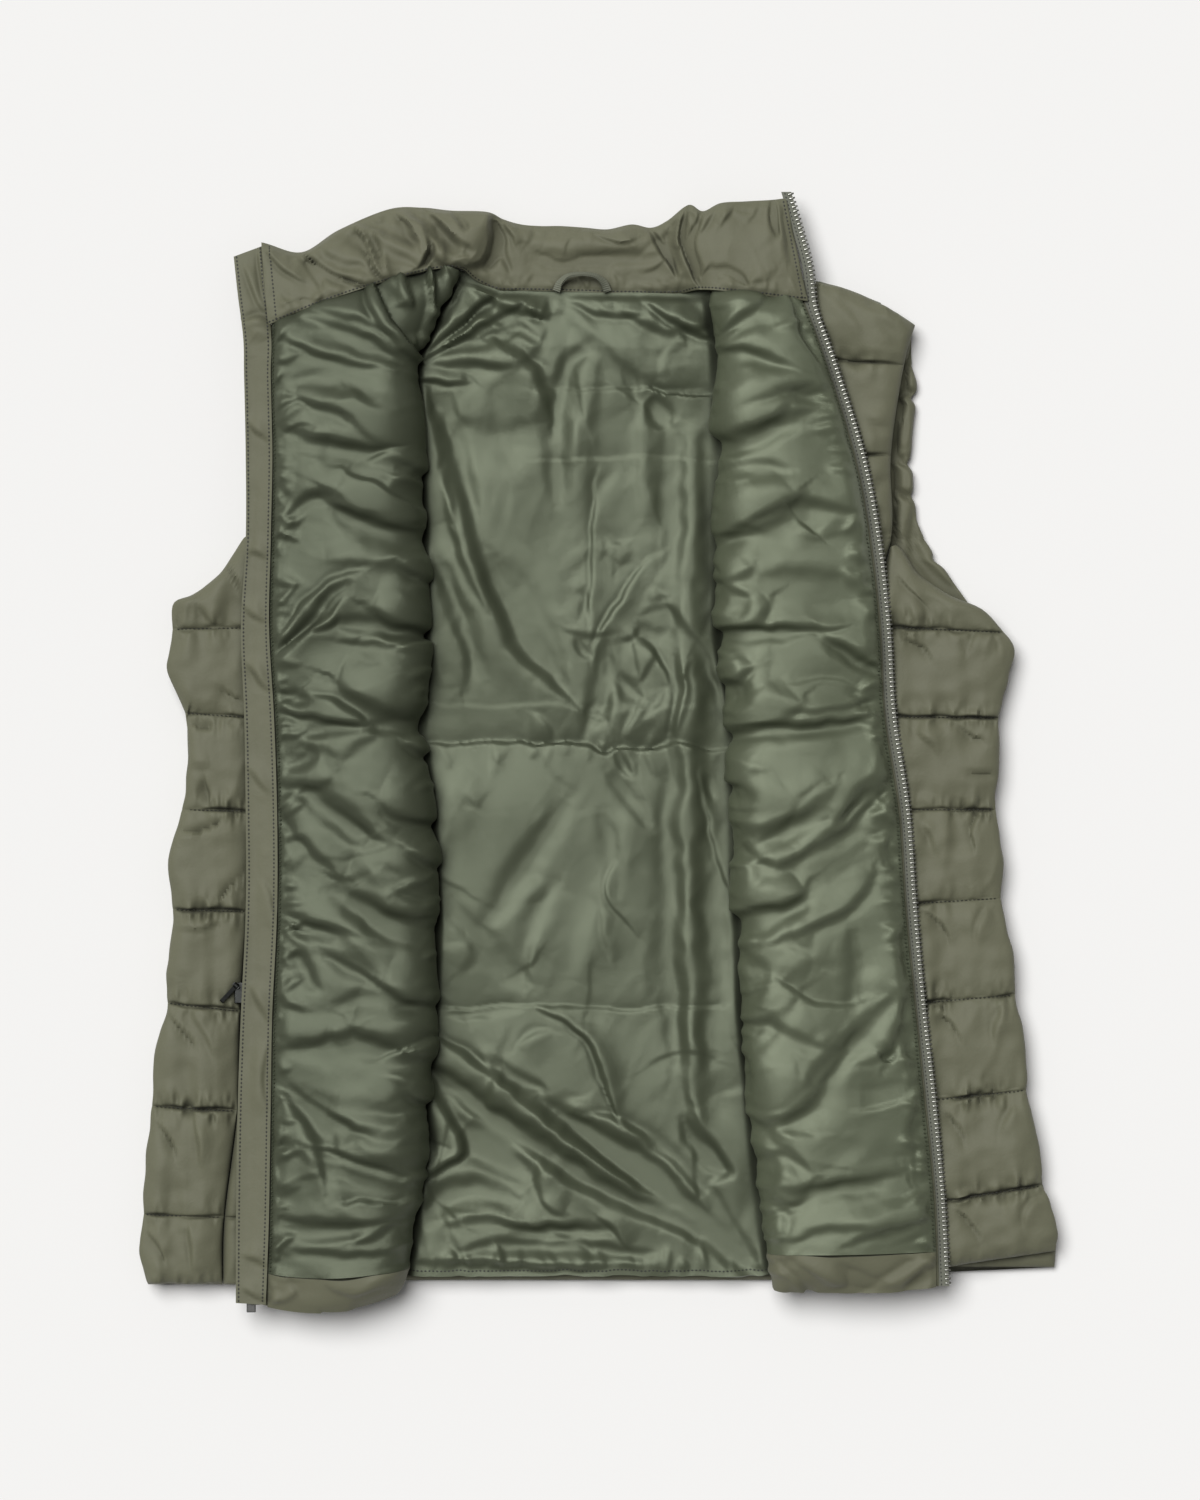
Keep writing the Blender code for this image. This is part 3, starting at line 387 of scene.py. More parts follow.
# Floor: half its width, how far it lies below the vest, and which way its corners are
FLOOR_HALF = 4000.0
FLOOR_DROP = 0.4
FLOOR_CORNERS = ((-1, -1), (1, -1), (1, 1), (-1, 1))

# Heights of the folded-back run, from its inner fold to its outer edge
ROLL = {"line": np.arange(len(ROLL_HEIGHTS), dtype=float), "height": np.array(ROLL_HEIGHTS)}

# Listed creases: width, height, steep side, then the path. The steep side is on the right
# of the path for 1 and on its left for -1. With 0 both sides are about alike.
BACK_CREASES = (
    (2.0, -3.4, 1, (-126, 5, -61, 5, -12, 5, 5, -4, 13, 2, 33, 0, 41, 2)),
    (2.0, -3.0, 1, (31, 1, 43, 0, 51, 5, 63, 2, 100, 1)),
    (1.8, 0.4, -1, (-113, 25, -12, 25, 87, 24)),
    (1.6, -0.7, 1, (-42, 224, 26, 226, 63, 225)),
    (1.8, -2.4, 1, (33, 225, 57, 221, 82, 223)),
    (5.0, -4.0, 0, (31, 218, 37, 211, 43, 201)),
    (1.6, -0.6, 1, (-45, 181, 95, 181)),
    (1.6, -1.5, 1, (-111, -159, -17, -160, 77, -159)),
    (2.0, -1.2, 0, (-91, -164, -48, -162)),
    (1.6, 1.4, 1, (-1, 174, -2, 118, -3, 68)),
    (4.2, -3.4, 0, (4, 68, 4, 45, 1, 27, -11, 7)),
    (1.8, 2.4, 1, (26, 112, 13, 91, 2, 68, -2, 53)),
    (2.0, -1.8, 0, (-12, 68, -8, 61, -4, 55)),
    (3.2, -2.8, 0, (7, 53, 15, 41, 25, 31)),
    (2.2, 2.4, -1, (28, 68, 38, 55, 42, 40)),
    (2.4, -3.0, 0, (50, 61, 48, 32, 46, 6)),
    (2.6, 2.6, -1, (56, 56, 51, 43, 49, 9)),
    (4.0, 3.4, 1, (46, 93, 63, 74, 73, 59, 84, 17)),
    (2.0, -2.0, 0, (13, -1, 17, -9, 22, -16)),
    (2.6, 1.8, 1, (26, 31, 24, 17, 19, 7)),
    (3.0, 1.6, 1, (9, 37, 12, 24, 9, 9)),
    (2.2, 1.4, -1, (-41, 21, -31, 14, -29, 6)),
    (3.4, -1.8, 0, (26, 78, 35, 68, 43, 72)),
    (2.4, 1.4, 1, (-19, 76, -5, 72, 9, 74)),
    (6.4, 5.2, 0, (60, 198, 58, 118, 56, 68, 56, -6, 56, -118, 58, -192, 63, -248)),
    (6.0, -3.4, 0, (46, 6, 45, -62, 43, -130, 47, -192)),
    (7.5, -4.0, 0, (72, 68, 71, -6, 71, -93, 72, -186)),
    (1.6, 2.0, 1, (63, -12, 67, -38, 76, -65, 86, -93)),
    (2.0, -1.8, 0, (66, -14, 68, -22, 71, -31)),
    (6.0, -2.6, 0, (46, 198, 45, 155, 47, 112)),
    (6.0, -2.4, 0, (71, 198, 71, 143, 73, 93)),
    (5.0, 4.4, -1, (-102, 208, -88, 152, -78, 107, -61, 68, -42, 43, -16, 27)),
    (3.4, 2.6, 1, (-95, 174, -84, 127, -69, 87)),
    (6.0, -3.4, 0, (-68, 123, -55, 81, -36, 51, -16, 35)),
    (8.0, -2.4, 0, (-91, 197, -66, 188, -38, 195)),
    (4.6, 3.2, -1, (-107, 127, -99, 87, -86, 56, -85, 37)),
    (6.0, -2.6, 0, (-61, 118, -42, 93, -29, 62, -24, 43)),
    (5.0, -2.4, 0, (-97, 118, -88, 79, -71, 43)),
    (3.6, -2.2, 0, (9, -12, 20, -29, 33, -48)),
    (4.0, -2.0, 0, (4, -39, 9, -68, 12, -96)),
    (5.6, -3.0, 0, (-20, -31, -34, -58, -60, -92, -71, -108)),
    (1.8, 1.6, 1, (10, -68, 6, -87, 12, -100, 24, -116)),
    (1.8, 1.2, 1, (2, -100, 5, -115, 8, -131)),
    (5.4, -2.8, 0, (-94, -90, -79, -112, -61, -133, -43, -150)),
    (5.0, 2.2, 1, (-24, -87, -36, -115, -44, -146)),
    (7.0, 2.4, 0, (26, -31, 5, -93, -11, -146)),
    (7.0, 1.8, 0, (-79, -12, -92, -31, -99, -68)),
    (1.9, 2.8, 1, (-36, -162, -16, -169, -5, -177, 1, -193, 10, -219, 16, -232)),
    (5.0, 5.4, -1, (-102, -180, -74, -201, -42, -226, -24, -239, 7, -264, 38, -283, 66, -298)),
    (4.6, -6.4, 0, (-106, -198, -79, -216, -55, -233, -40, -242, -16, -261, 12, -277, 38, -290, 61, -301)),
    (6.8, -7.4, 0, (-26, -228, -5, -241, 23, -256, 43, -277, 69, -296, 91, -316, 104, -327)),
    (4.6, 3.6, -1, (-5, -228, 15, -234, 32, -253, 53, -272, 86, -306)),
    (3.6, -3.6, 0, (53, -231, 62, -249, 81, -262)),
    (4.0, 2.6, 1, (61, -224, 83, -254, 86, -263, 71, -273)),
    (8.0, -5.0, 0, (-82, -233, -64, -248, -43, -270)),
    (3.6, 4.0, -1, (-108, -197, -98, -226, -82, -247, -96, -255, -115, -264)),
    (3.4, -2.6, 0, (-110, -217, -108, -236, -104, -248)),
    (6.5, -4.4, 0, (-113, -293, -89, -275, -61, -278, -50, -285)),
    (4.6, 2.4, 1, (-98, -293, -74, -283, -48, -293)),
    (2.8, -2.0, 0, (-53, -301, -16, -299, 11, -299)),
    (3.4, -2.6, 0, (-87, -312, -31, -308, 33, -314)),
    (2.0, 1.6, 1, (1, -290, 14, -296, 20, -307)),
    (2.6, 1.8, 1, (-61, -295, -24, -293, -5, -296)),
    (3.0, 1.8, 1, (-117, -317, -92, -314, -48, -317, 1, -321)),
    (4.0, 2.6, 0, (-73, -186, -61, -202, -36, -218)),
    (3.0, -2.2, 0, (-67, -192, -48, -208, -33, -213)),
    (2.0, 2.0, 1, (-45, 277, -37, 272, -29, 269)),
    (2.4, 3.4, 1, (-118, 241, -103, 268, -85, 290)),
    (2.4, -3.0, 0, (-115, 249, -100, 275, -91, 291)),
    (2.4, 3.2, 1, (-115, 241, -92, 265, -66, 286)),
    (2.6, -2.6, 0, (-108, 247, -84, 268, -63, 281)),
    (2.4, 2.8, 1, (-115, 239, -82, 263, -45, 280)),
    (1.8, 2.0, 1, (-118, 229, -100, 230, -84, 229)),
    (3.4, 2.2, 1, (-103, 241, -79, 244, -53, 242)),
    (3.0, -2.2, 0, (-98, 247, -73, 254, -48, 263)),
    (4.4, 4.0, -1, (-110, 223, -103, 180, -91, 143)),
    (5.0, -3.0, 0, (-98, 222, -89, 186, -77, 148)),
    (5.0, -3.2, 0, (-26, 155, -27, 205, -20, 236, -7, 248)),
    (6.0, 2.6, 0, (-11, 130, -12, 174, -11, 214, -1, 241)),
    (4.0, 3.4, -1, (-68, 253, -56, 244, -43, 232, -33, 206)),
    (3.4, 2.8, 1, (-79, 289, -61, 280, -42, 275, -31, 272)),
    (5.4, 1.3, 1, (-15, 268, 9, 254, 36, 231)),
    (2.4, 2.8, 1, (26, 281, 52, 268, 78, 250)),
    (5.4, -1.0, 0, (-61, 229, -58, 198, -51, 174)),
    (5.0, -1.0, 0, (26, 260, 38, 248, 57, 244)),
    (3.6, 2.2, 1, (14, 275, 38, 265, 71, 265)),
    (5.0, 2.4, 0, (32, 217, 26, 186, 31, 143)),
    (2.4, 1.6, 1, (-15, 279, 1, 272, 26, 273)),
    (3.2, -2.0, 0, (-79, 279, -61, 268, -36, 254)),
)
RIGHT_CREASES = (
    (2.2, -7.0, 1, (-139, 289, -130, 274, -123, 260, -115, 246)),
    (2.6, 4.6, 1, (-144, 286, -135, 270, -125, 255, -118, 244)),
    (5.0, -6.4, 0, (-122, 275, -119, 268, -116, 257)),
    (4.0, 4.4, 0, (-139, 286, -131, 285, -123, 287)),
    (1.9, 5.4, -1, (-120, 295, -117, 280, -116, 260)),
    (4.4, -7.0, 0, (-112, 299, -110, 283, -114, 257)),
    (1.6, 5.0, 1, (-104, 299, -104, 284, -108, 270, -114, 250)),
    (1.5, 4.6, -1, (-94, 296, -98, 281, -107, 262, -115, 247)),
    (1.8, -5.0, 0, (-99, 298, -100, 281, -108, 263, -115, 248)),
    (3.4, -6.4, 0, (-97, 298, -98, 283, -105, 267)),
    (1.8, 5.0, -1, (-91, 299, -92, 285, -99, 272, -108, 258)),
    (3.0, -6.0, 0, (-84, 296, -87, 284, -94, 273)),
    (2.4, 2.8, 1, (-177, 271, -161, 268, -140, 265, -123, 254)),
    (6.0, 5.4, 1, (-149, 206, -131, 199, -110, 190)),
    (7.0, 6.2, 1, (-162, 159, -136, 148, -108, 136)),
    (5.0, 5.0, 1, (-140, 90, -124, 84, -107, 78)),
    (6.4, 6.0, 1, (-159, 44, -135, 34, -109, 23)),
    (5.0, 5.0, 1, (-135, -30, -120, -35, -104, -42)),
    (7.4, 6.4, 1, (-157, -79, -129, -91, -99, -104)),
    (4.6, 4.6, 1, (-131, -143, -117, -147, -102, -153)),
    (6.6, 5.8, 1, (-152, -167, -128, -177, -103, -188)),
    (6.6, 6.4, 1, (-170, -227, -142, -239, -112, -252)),
    (2.2, 4.0, 1, (-128, 181, -119, 177, -108, 171)),
    (2.4, 4.4, 1, (-124, 117, -115, 112, -107, 104)),
    (2.0, 4.0, -1, (-125, 62, -117, 64, -108, 68)),
    (2.4, 4.4, 1, (-122, 5, -113, 0, -104, -7)),
    (2.2, 4.0, 1, (-119, -60, -110, -64, -100, -72)),
    (2.4, 4.2, 1, (-120, -208, -113, -212, -104, -218)),
    (3.4, 3.4, 1, (-185, 268, -154, 263, -134, 255, -115, 242)),
    (3.4, -2.8, 0, (-174, 254, -146, 252, -124, 239)),
    (3.0, 2.6, 1, (-200, 257, -165, 246, -128, 234)),
    (4.4, -2.8, 0, (-185, 226, -160, 229, -133, 219)),
    (4.0, 2.6, 1, (-195, 202, -161, 195, -126, 186)),
    (4.0, -2.6, 0, (-185, 187, -157, 182, -128, 174)),
    (4.0, 3.2, -1, (-153, 222, -135, 198, -114, 185)),
    (3.6, 3.4, 1, (-192, 148, -180, 161, -163, 164, -150, 155)),
    (3.4, -3.6, 1, (-154, 171, -131, 161, -113, 151)),
    (4.0, 3.4, 1, (-184, 218, -157, 215, -130, 202)),
    (4.4, -2.8, 0, (-164, 145, -135, 143, -112, 135)),
    (4.0, 3.0, 1, (-166, 155, -140, 149, -112, 139)),
    (2.2, 3.0, -1, (-199, 50, -182, 68, -164, 77, -153, 93)),
    (2.6, -3.6, 0, (-197, 52, -181, 72, -165, 92, -153, 104)),
    (2.6, 2.6, -1, (-199, 55, -185, 82, -166, 99, -144, 112)),
    (3.2, -3.2, 0, (-159, 78, -141, 76, -109, 71)),
    (2.0, 2.6, 1, (-175, 74, -161, 79, -159, 83)),
    (3.0, 2.2, 1, (-159, 68, -135, 68, -113, 62)),
    (2.6, -3.2, 0, (-198, 32, -187, 31, -176, 31)),
    (2.4, 3.2, 1, (-198, 26, -171, 21, -145, 17)),
    (2.2, 2.4, 1, (-145, 19, -160, 27, -176, 33)),
    (3.0, -2.8, 0, (-185, 11, -166, 11, -146, 14)),
    (2.8, -3.0, 0, (-142, 16, -126, 14, -110, 12)),
    (4.0, -3.4, 0, (-198, -7, -185, -7, -172, 0)),
    (3.6, 2.6, 1, (-198, -15, -181, -20, -165, -14)),
    (5.4, -5.0, 0, (-181, -24, -164, -36, -143, -56)),
    (5.4, -4.6, 0, (-154, -91, -132, -107, -110, -120)),
    (5.0, -4.0, 0, (-169, -127, -153, -131, -134, -143)),
    (3.4, -4.0, 1, (-136, -191, -123, -184, -109, -177)),
    (6.5, -4.6, 0, (-179, -214, -160, -229, -123, -226)),
    (3.0, -3.0, 1, (-156, -280, -140, -275, -122, -277)),
    (3.0, 3.0, 1, (-151, -303, -140, -296, -128, -290)),
    (3.6, 3.0, 1, (-198, -23, -185, -43, -171, -62, -156, -76)),
    (3.6, 2.6, 1, (-172, -25, -153, -38, -128, -55)),
    (4.4, -2.8, 0, (-133, -74, -120, -84, -105, -93)),
    (4.0, 2.6, 1, (-198, -97, -172, -100, -144, -113)),
    (3.6, -3.0, 0, (-196, -108, -172, -113, -153, -122)),
    (4.0, 2.6, 1, (-166, -124, -150, -130, -128, -145)),
    (3.6, -2.6, 0, (-192, -119, -182, -134, -174, -148)),
    (4.0, 2.4, 1, (-200, -174, -175, -176, -148, -169)),
    (4.4, -2.6, 0, (-185, -187, -160, -186, -123, -180)),
    (3.4, 3.2, -1, (-202, -208, -182, -233, -169, -273)),
    (3.6, -3.0, 0, (-191, -208, -175, -229, -160, -258)),
    (3.4, 2.8, 1, (-177, -215, -155, -229, -118, -232)),
    (3.0, -3.2, 0, (-171, -228, -153, -239, -120, -243)),
    (2.4, 3.4, 1, (-181, -243, -154, -249, -131, -254, -114, -264)),
    (3.4, -2.6, 0, (-172, -259, -153, -265, -124, -270)),
    (3.0, 2.4, 1, (-197, -284, -166, -290, -128, -286)),
    (3.0, -2.4, 0, (-193, -296, -166, -300, -135, -295)),
    (3.0, 2.4, 1, (-191, -305, -154, -309, -124, -303)),
    (2.4, -3.4, 1, (-191, -326, -182, -335, -171, -345)),
    (3.0, 2.6, 1, (-169, -325, -154, -331, -133, -326)),
    (2.8, -3.0, 0, (-154, -342, -140, -335, -124, -330)),
    (5.0, 2.6, 0, (-166, 118, -141, 123, -113, 114)),
    (4.6, -2.4, 0, (-166, -87, -146, -83, -125, -93)),
    (4.6, -2.4, 0, (-166, -161, -141, -155, -108, -161)),
)
LEFT_CREASES = (
    (6.0, 4.6, 1, (74, 200, 95, 203, 113, 217)),
    (6.6, 5.0, 1, (75, 138, 99, 141, 120, 157)),
    (3.4, 2.8, 1, (76, 105, 86, 109, 94, 115)),
    (5.4, 4.4, 1, (75, 77, 91, 81, 104, 91)),
    (3.4, 3.0, 1, (80, 43, 89, 47, 97, 53)),
    (5.6, 4.8, 1, (82, 14, 102, 18, 121, 32)),
    (3.2, 2.8, 1, (84, -17, 92, -14, 99, -8)),
    (6.0, 4.6, 1, (85, -45, 104, -41, 122, -29)),
    (6.4, 4.8, 1, (87, -99, 108, -95, 126, -82)),
    (5.4, 3.8, 1, (93, -164, 107, -160, 120, -151)),
    (6.6, 4.2, 1, (97, -224, 117, -221, 134, -208)),
    (5.0, 3.4, 1, (104, -279, 117, -275, 128, -267)),
    (3.0, 2.6, 1, (79, 118, 87, 109, 84, 95)),
    (3.0, -2.8, 0, (83, 99, 91, 91, 87, 79)),
    (3.0, 2.8, -1, (82, 62, 91, 55, 89, 37)),
    (3.4, -3.0, 0, (84, 43, 93, 31, 91, 17)),
    (3.0, 2.6, 1, (87, 0, 95, -11, 93, -29)),
    (3.4, -3.0, 0, (87, -19, 97, -30, 94, -42)),
    (3.0, 2.4, -1, (91, -62, 99, -73, 97, -88)),
    (3.2, -2.8, 0, (93, -124, 102, -135, 100, -153)),
    (3.0, 2.4, 1, (95, -181, 105, -192, 103, -211)),
    (3.2, -2.8, 0, (100, -248, 110, -257, 109, -273)),
    (3.0, 2.4, -1, (105, -279, 115, -289, 114, -304)),
    (3.4, -3.4, 0, (136, 260, 143, 247, 148, 234)),
    (2.4, 3.0, 1, (129, 275, 135, 259, 141, 248)),
    (3.4, -3.4, 0, (157, 192, 164, 179, 166, 164)),
    (2.8, 2.6, 1, (154, 205, 160, 192, 164, 185)),
    (3.6, -3.6, 0, (166, 140, 171, 125, 172, 110)),
    (3.6, -3.4, 0, (170, 93, 175, 78, 176, 62)),
    (2.4, -3.2, 0, (141, 68, 156, 56, 177, 41)),
    (2.4, -3.4, 0, (157, 30, 167, 27, 177, 31)),
    (2.6, 3.0, -1, (157, 35, 166, 38, 174, 37)),
    (3.6, -3.2, 0, (175, 6, 180, -6, 181, -19)),
    (2.6, -3.2, 0, (145, -45, 160, -26, 177, -11)),
    (3.6, -3.2, 0, (180, -56, 185, -69, 186, -83)),
    (3.6, -3.2, 0, (186, -112, 190, -128, 191, -143)),
    (3.6, -3.0, 0, (188, -167, 193, -182, 195, -196)),
    (3.6, -3.0, 0, (195, -223, 198, -237, 200, -252)),
    (3.4, -3.0, 0, (198, -273, 203, -285, 205, -299)),
    (7.0, 3.6, -1, (138, 260, 149, 229, 156, 200)),
    (7.0, 3.2, -1, (156, 175, 164, 143, 167, 110)),
    (8.0, 3.8, -1, (165, 94, 169, 62, 170, 36)),
    (7.0, 4.0, -1, (166, 14, 173, -19, 177, -52)),
    (8.0, 3.4, -1, (176, -79, 182, -118, 184, -150)),
    (7.0, 3.8, -1, (185, -180, 190, -217, 194, -249)),
    (7.0, 3.4, -1, (194, -272, 198, -286, 201, -301)),
    (3.0, 3.2, 1, (78, 260, 89, 269, 103, 277)),
    (3.0, -2.8, 0, (78, 253, 92, 260, 107, 263)),
    (2.8, 3.0, -1, (115, 278, 118, 255, 133, 233)),
    (2.4, -2.6, 0, (122, 275, 127, 254, 136, 238)),
    (3.4, 3.2, 1, (76, 247, 94, 254, 112, 243, 130, 233)),
    (3.4, -2.6, 0, (78, 236, 95, 243, 113, 233)),
    (4.0, 4.0, 1, (77, 196, 87, 218, 112, 228, 146, 228)),
    (3.4, -3.6, 0, (119, 215, 135, 217, 151, 219)),
    (3.6, 3.0, 1, (77, 193, 92, 208, 131, 211)),
    (3.6, -2.8, 0, (79, 182, 95, 195, 125, 200)),
    (4.0, 3.6, 1, (78, 130, 99, 154, 125, 159, 164, 150)),
    (4.4, -3.0, 0, (85, 127, 103, 143, 131, 146)),
    (3.6, -3.0, 0, (78, 169, 95, 174, 119, 171)),
    (2.4, 3.4, 1, (77, 76, 91, 78, 119, 77, 151, 78)),
    (2.6, -3.4, 0, (78, 71, 100, 71, 125, 72)),
    (3.4, 2.8, 1, (136, 76, 156, 63, 177, 51)),
    (3.4, -2.6, 0, (141, 64, 157, 53, 177, 41)),
    (3.0, 3.2, 1, (84, 15, 100, 18, 125, 17, 167, 22)),
    (3.4, -3.6, 0, (84, 7, 113, 10, 165, 16)),
    (2.8, 2.2, 1, (100, 29, 131, 27, 164, 32)),
    (3.0, -2.2, 0, (153, 37, 164, 35, 177, 35)),
    (4.4, 3.4, 1, (141, -38, 162, -21, 184, -4)),
    (4.4, -3.0, 0, (149, -45, 169, -29, 186, -16)),
    (4.6, 3.2, 1, (98, -55, 119, -36, 140, -21)),
    (4.4, -3.2, 0, (100, -63, 123, -47, 141, -35)),
    (4.0, 3.2, 1, (88, -104, 105, -93, 125, -83)),
    (4.0, -3.2, 0, (89, -113, 108, -103, 130, -93)),
    (5.0, 3.0, 1, (108, -162, 125, -171, 140, -180)),
    (4.6, 3.8, -1, (148, -185, 133, -208, 112, -231)),
    (4.6, -4.4, 0, (179, -155, 151, -186, 120, -222)),
    (4.4, 3.4, 1, (94, -53, 110, -69, 128, -60)),
    (4.4, 3.8, 1, (125, -62, 151, -41, 177, -19)),
    (4.0, 3.0, 1, (104, -117, 124, -107, 151, -98, 167, -76)),
    (4.0, -3.4, 1, (113, -143, 135, -157, 157, -155)),
    (2.6, -3.4, 1, (171, -186, 177, -190, 182, -186)),
    (4.0, 3.0, 1, (110, -236, 125, -246, 135, -259)),
    (3.4, 3.4, 1, (156, -304, 171, -293, 206, -286)),
    (4.0, 2.8, -1, (185, -122, 181, -155, 174, -190)),
    (4.4, -2.6, 0, (156, -112, 160, -140, 155, -161)),
    (3.4, 2.6, 1, (103, -267, 144, -262, 185, -258)),
    (3.4, -2.4, 0, (107, -277, 138, -273, 175, -269)),
    (3.4, 2.4, 1, (109, -296, 150, -293, 203, -285)),
    (3.0, -3.4, 1, (117, 150, 125, 143, 133, 135)),
    (5.0, 2.0, 0, (100, 112, 131, 117, 167, 109)),
    (2.4, -4.0, 1, (117, -317, 125, -326, 133, -335)),
    (2.4, 3.4, 1, (125, -315, 140, -324, 157, -326)),
    (2.8, -3.4, 0, (149, -319, 165, -327, 182, -331)),
    (2.4, 3.0, -1, (166, -334, 187, -324, 210, -312)),
    (2.6, -3.0, 0, (187, -332, 202, -326, 215, -322)),
)
COLLAR_CREASES = (
    (1.4, -4.0, 1, (-183, 309, -174, 301, -166, 294, -143, 285)),
    (1.8, 3.4, 1, (-151, 324, -141, 309, -136, 295, -131, 288)),
    (1.8, -2.8, 0, (-145, 321, -137, 306, -133, 295)),
    (1.6, 2.6, -1, (-110, 320, -108, 309, -113, 301)),
    (1.6, -2.4, 0, (-107, 317, -104, 308, -108, 300)),
    (1.6, 2.2, 1, (-124, 332, -115, 326, -110, 317)),
    (1.6, 2.0, 1, (-104, 334, -95, 327, -91, 319)),
    (1.6, -2.0, 0, (-91, 332, -84, 324, -82, 316)),
    (1.5, -3.2, 0, (33, 325, 38, 314, 43, 303, 47, 293)),
    (1.6, 2.0, 1, (-58, 332, -55, 322, -52, 312)),
    (1.6, -1.8, 0, (-63, 325, -61, 310, -55, 299)),
    (1.6, 1.6, 1, (-36, 309, -22, 305, -10, 306)),
    (1.6, 1.6, 1, (1, 319, 15, 316, 26, 320)),
    (1.6, 2.0, 1, (-206, 310, -195, 299, -181, 290)),
    (1.6, -1.8, 0, (-180, 303, -174, 295, -171, 285)),
    (1.6, 1.1, -1, (71, 334, 66, 329, 61, 321)),
    (1.6, 1.1, -1, (83, 337, 79, 332, 74, 324)),
    (1.8, 0.7, -1, (98, 337, 95, 333, 92, 327)),
    (2.6, 4.4, 1, (-186, 312, -166, 298, -141, 285)),
    (2.6, -2.6, 0, (-177, 310, -159, 299, -140, 294)),
    (3.0, 3.0, 1, (-124, 335, -109, 316, -92, 300)),
    (3.0, -2.8, 0, (-115, 334, -100, 319, -87, 306)),
    (3.0, 2.4, 1, (-104, 334, -91, 321, -78, 310)),
    (3.4, -2.4, 0, (-160, 319, -140, 309, -117, 303)),
    (3.2, 2.6, -1, (-153, 324, -131, 312, -108, 312)),
    (3.0, 3.8, -1, (-69, 333, -70, 316, -71, 306, -82, 299)),
    (3.0, -3.2, 0, (-64, 327, -66, 312, -69, 301)),
    (1.5, -3.6, 0, (108, 341, 109, 327, 112, 316)),
    (2.6, 1.4, -1, (109, 339, 113, 316, 117, 301)),
    (2.6, -0.9, 0, (115, 337, 118, 316, 122, 298)),
    (3.2, 2.6, -1, (55, 336, 48, 320, 53, 301, 61, 288)),
    (3.0, -3.4, 0, (47, 331, 42, 316, 48, 298)),
    (1.4, -2.8, 0, (70, 294, 73, 297, 82, 296, 88, 292, 92, 287)),
    (2.2, -4.2, 0, (70, 298, 69, 291, 67, 286)),
    (4.6, 2.0, 0, (-48, 316, -5, 312, 32, 316)),
    (3.2, -1.8, 0, (-42, 306, 1, 303, 38, 306)),
    (1.3, -3.8, 0, (57, 338, 50, 321, 55, 305, 61, 291, 66, 286)),
    (1.3, -2.4, 0, (65, 334, 58, 322, 56, 310, 63, 294)),
)
RIGHT_SIDE_CREASES = (
    (1.1, -2.2, 1, (-252, 27, -254, 20, -256, 12)),
    (1.1, -2.2, 1, (-253, 15, -244, 13, -236, 14)),
    (1.8, 1.6, 1, (-255, -6, -248, -8, -240, -7)),
    (1.5, -2.0, -1, (-244, -16, -241, -25, -240, -36)),
    (1.1, -2.6, 1, (-267, -51, -258, -53, -247, -53, -233, -46)),
    (1.2, -2.0, 1, (-234, -92, -226, -84, -218, -77)),
    (1.5, -1.8, -1, (-233, 37, -226, 33, -219, 31)),
    (1.8, 1.6, 1, (-249, 93, -244, 86, -239, 79)),
    (1.5, -1.5, -1, (-233, 118, -227, 108, -222, 99)),
    (1.8, 1.6, 1, (-262, -108, -249, -112, -234, -107)),
    (1.4, -2.0, -1, (-265, -166, -257, -174, -249, -184)),
    (1.8, 1.6, 1, (-247, -167, -239, -177, -237, -190)),
    (1.4, -2.0, -1, (-275, -231, -265, -238, -259, -249)),
    (1.8, 1.8, 1, (-249, -231, -243, -242, -244, -254)),
    (1.4, -1.8, -1, (-280, -299, -272, -306, -268, -317)),
    (1.8, 1.8, 1, (-253, -295, -248, -308, -249, -321)),
)
LEFT_SIDE_CREASES = (
    (1.4, -2.0, -1, (190, 68, 198, 63, 206, 55)),
    (1.7, 1.6, 1, (237, 73, 232, 64, 231, 55)),
    (1.4, -2.0, -1, (224, 14, 232, 7, 243, 5)),
    (1.8, 1.6, 1, (196, 14, 206, 7, 211, -1)),
    (1.2, -2.2, 1, (249, -14, 239, -16, 228, -14)),
    (1.8, 1.6, 1, (200, -43, 208, -51, 211, -61)),
    (1.4, -2.0, -1, (234, -42, 231, -51, 232, -61)),
    (1.5, -2.0, -1, (203, -103, 212, -109, 218, -118)),
    (1.8, 1.6, 1, (243, -98, 237, -107, 236, -118)),
    (1.4, -2.0, -1, (210, -165, 219, -171, 224, -181)),
    (1.8, 1.8, 1, (253, -160, 247, -169, 246, -180)),
    (1.4, -2.0, -1, (216, -226, 224, -233, 228, -244)),
    (1.8, 1.6, 1, (259, -219, 252, -228, 250, -239)),
    (1.4, -2.0, -1, (223, -288, 232, -294, 237, -304)),
    (1.8, 1.6, 1, (274, -277, 265, -285, 264, -296)),
    (1.5, -1.5, -1, (186, 107, 192, 98, 202, 91)),
)
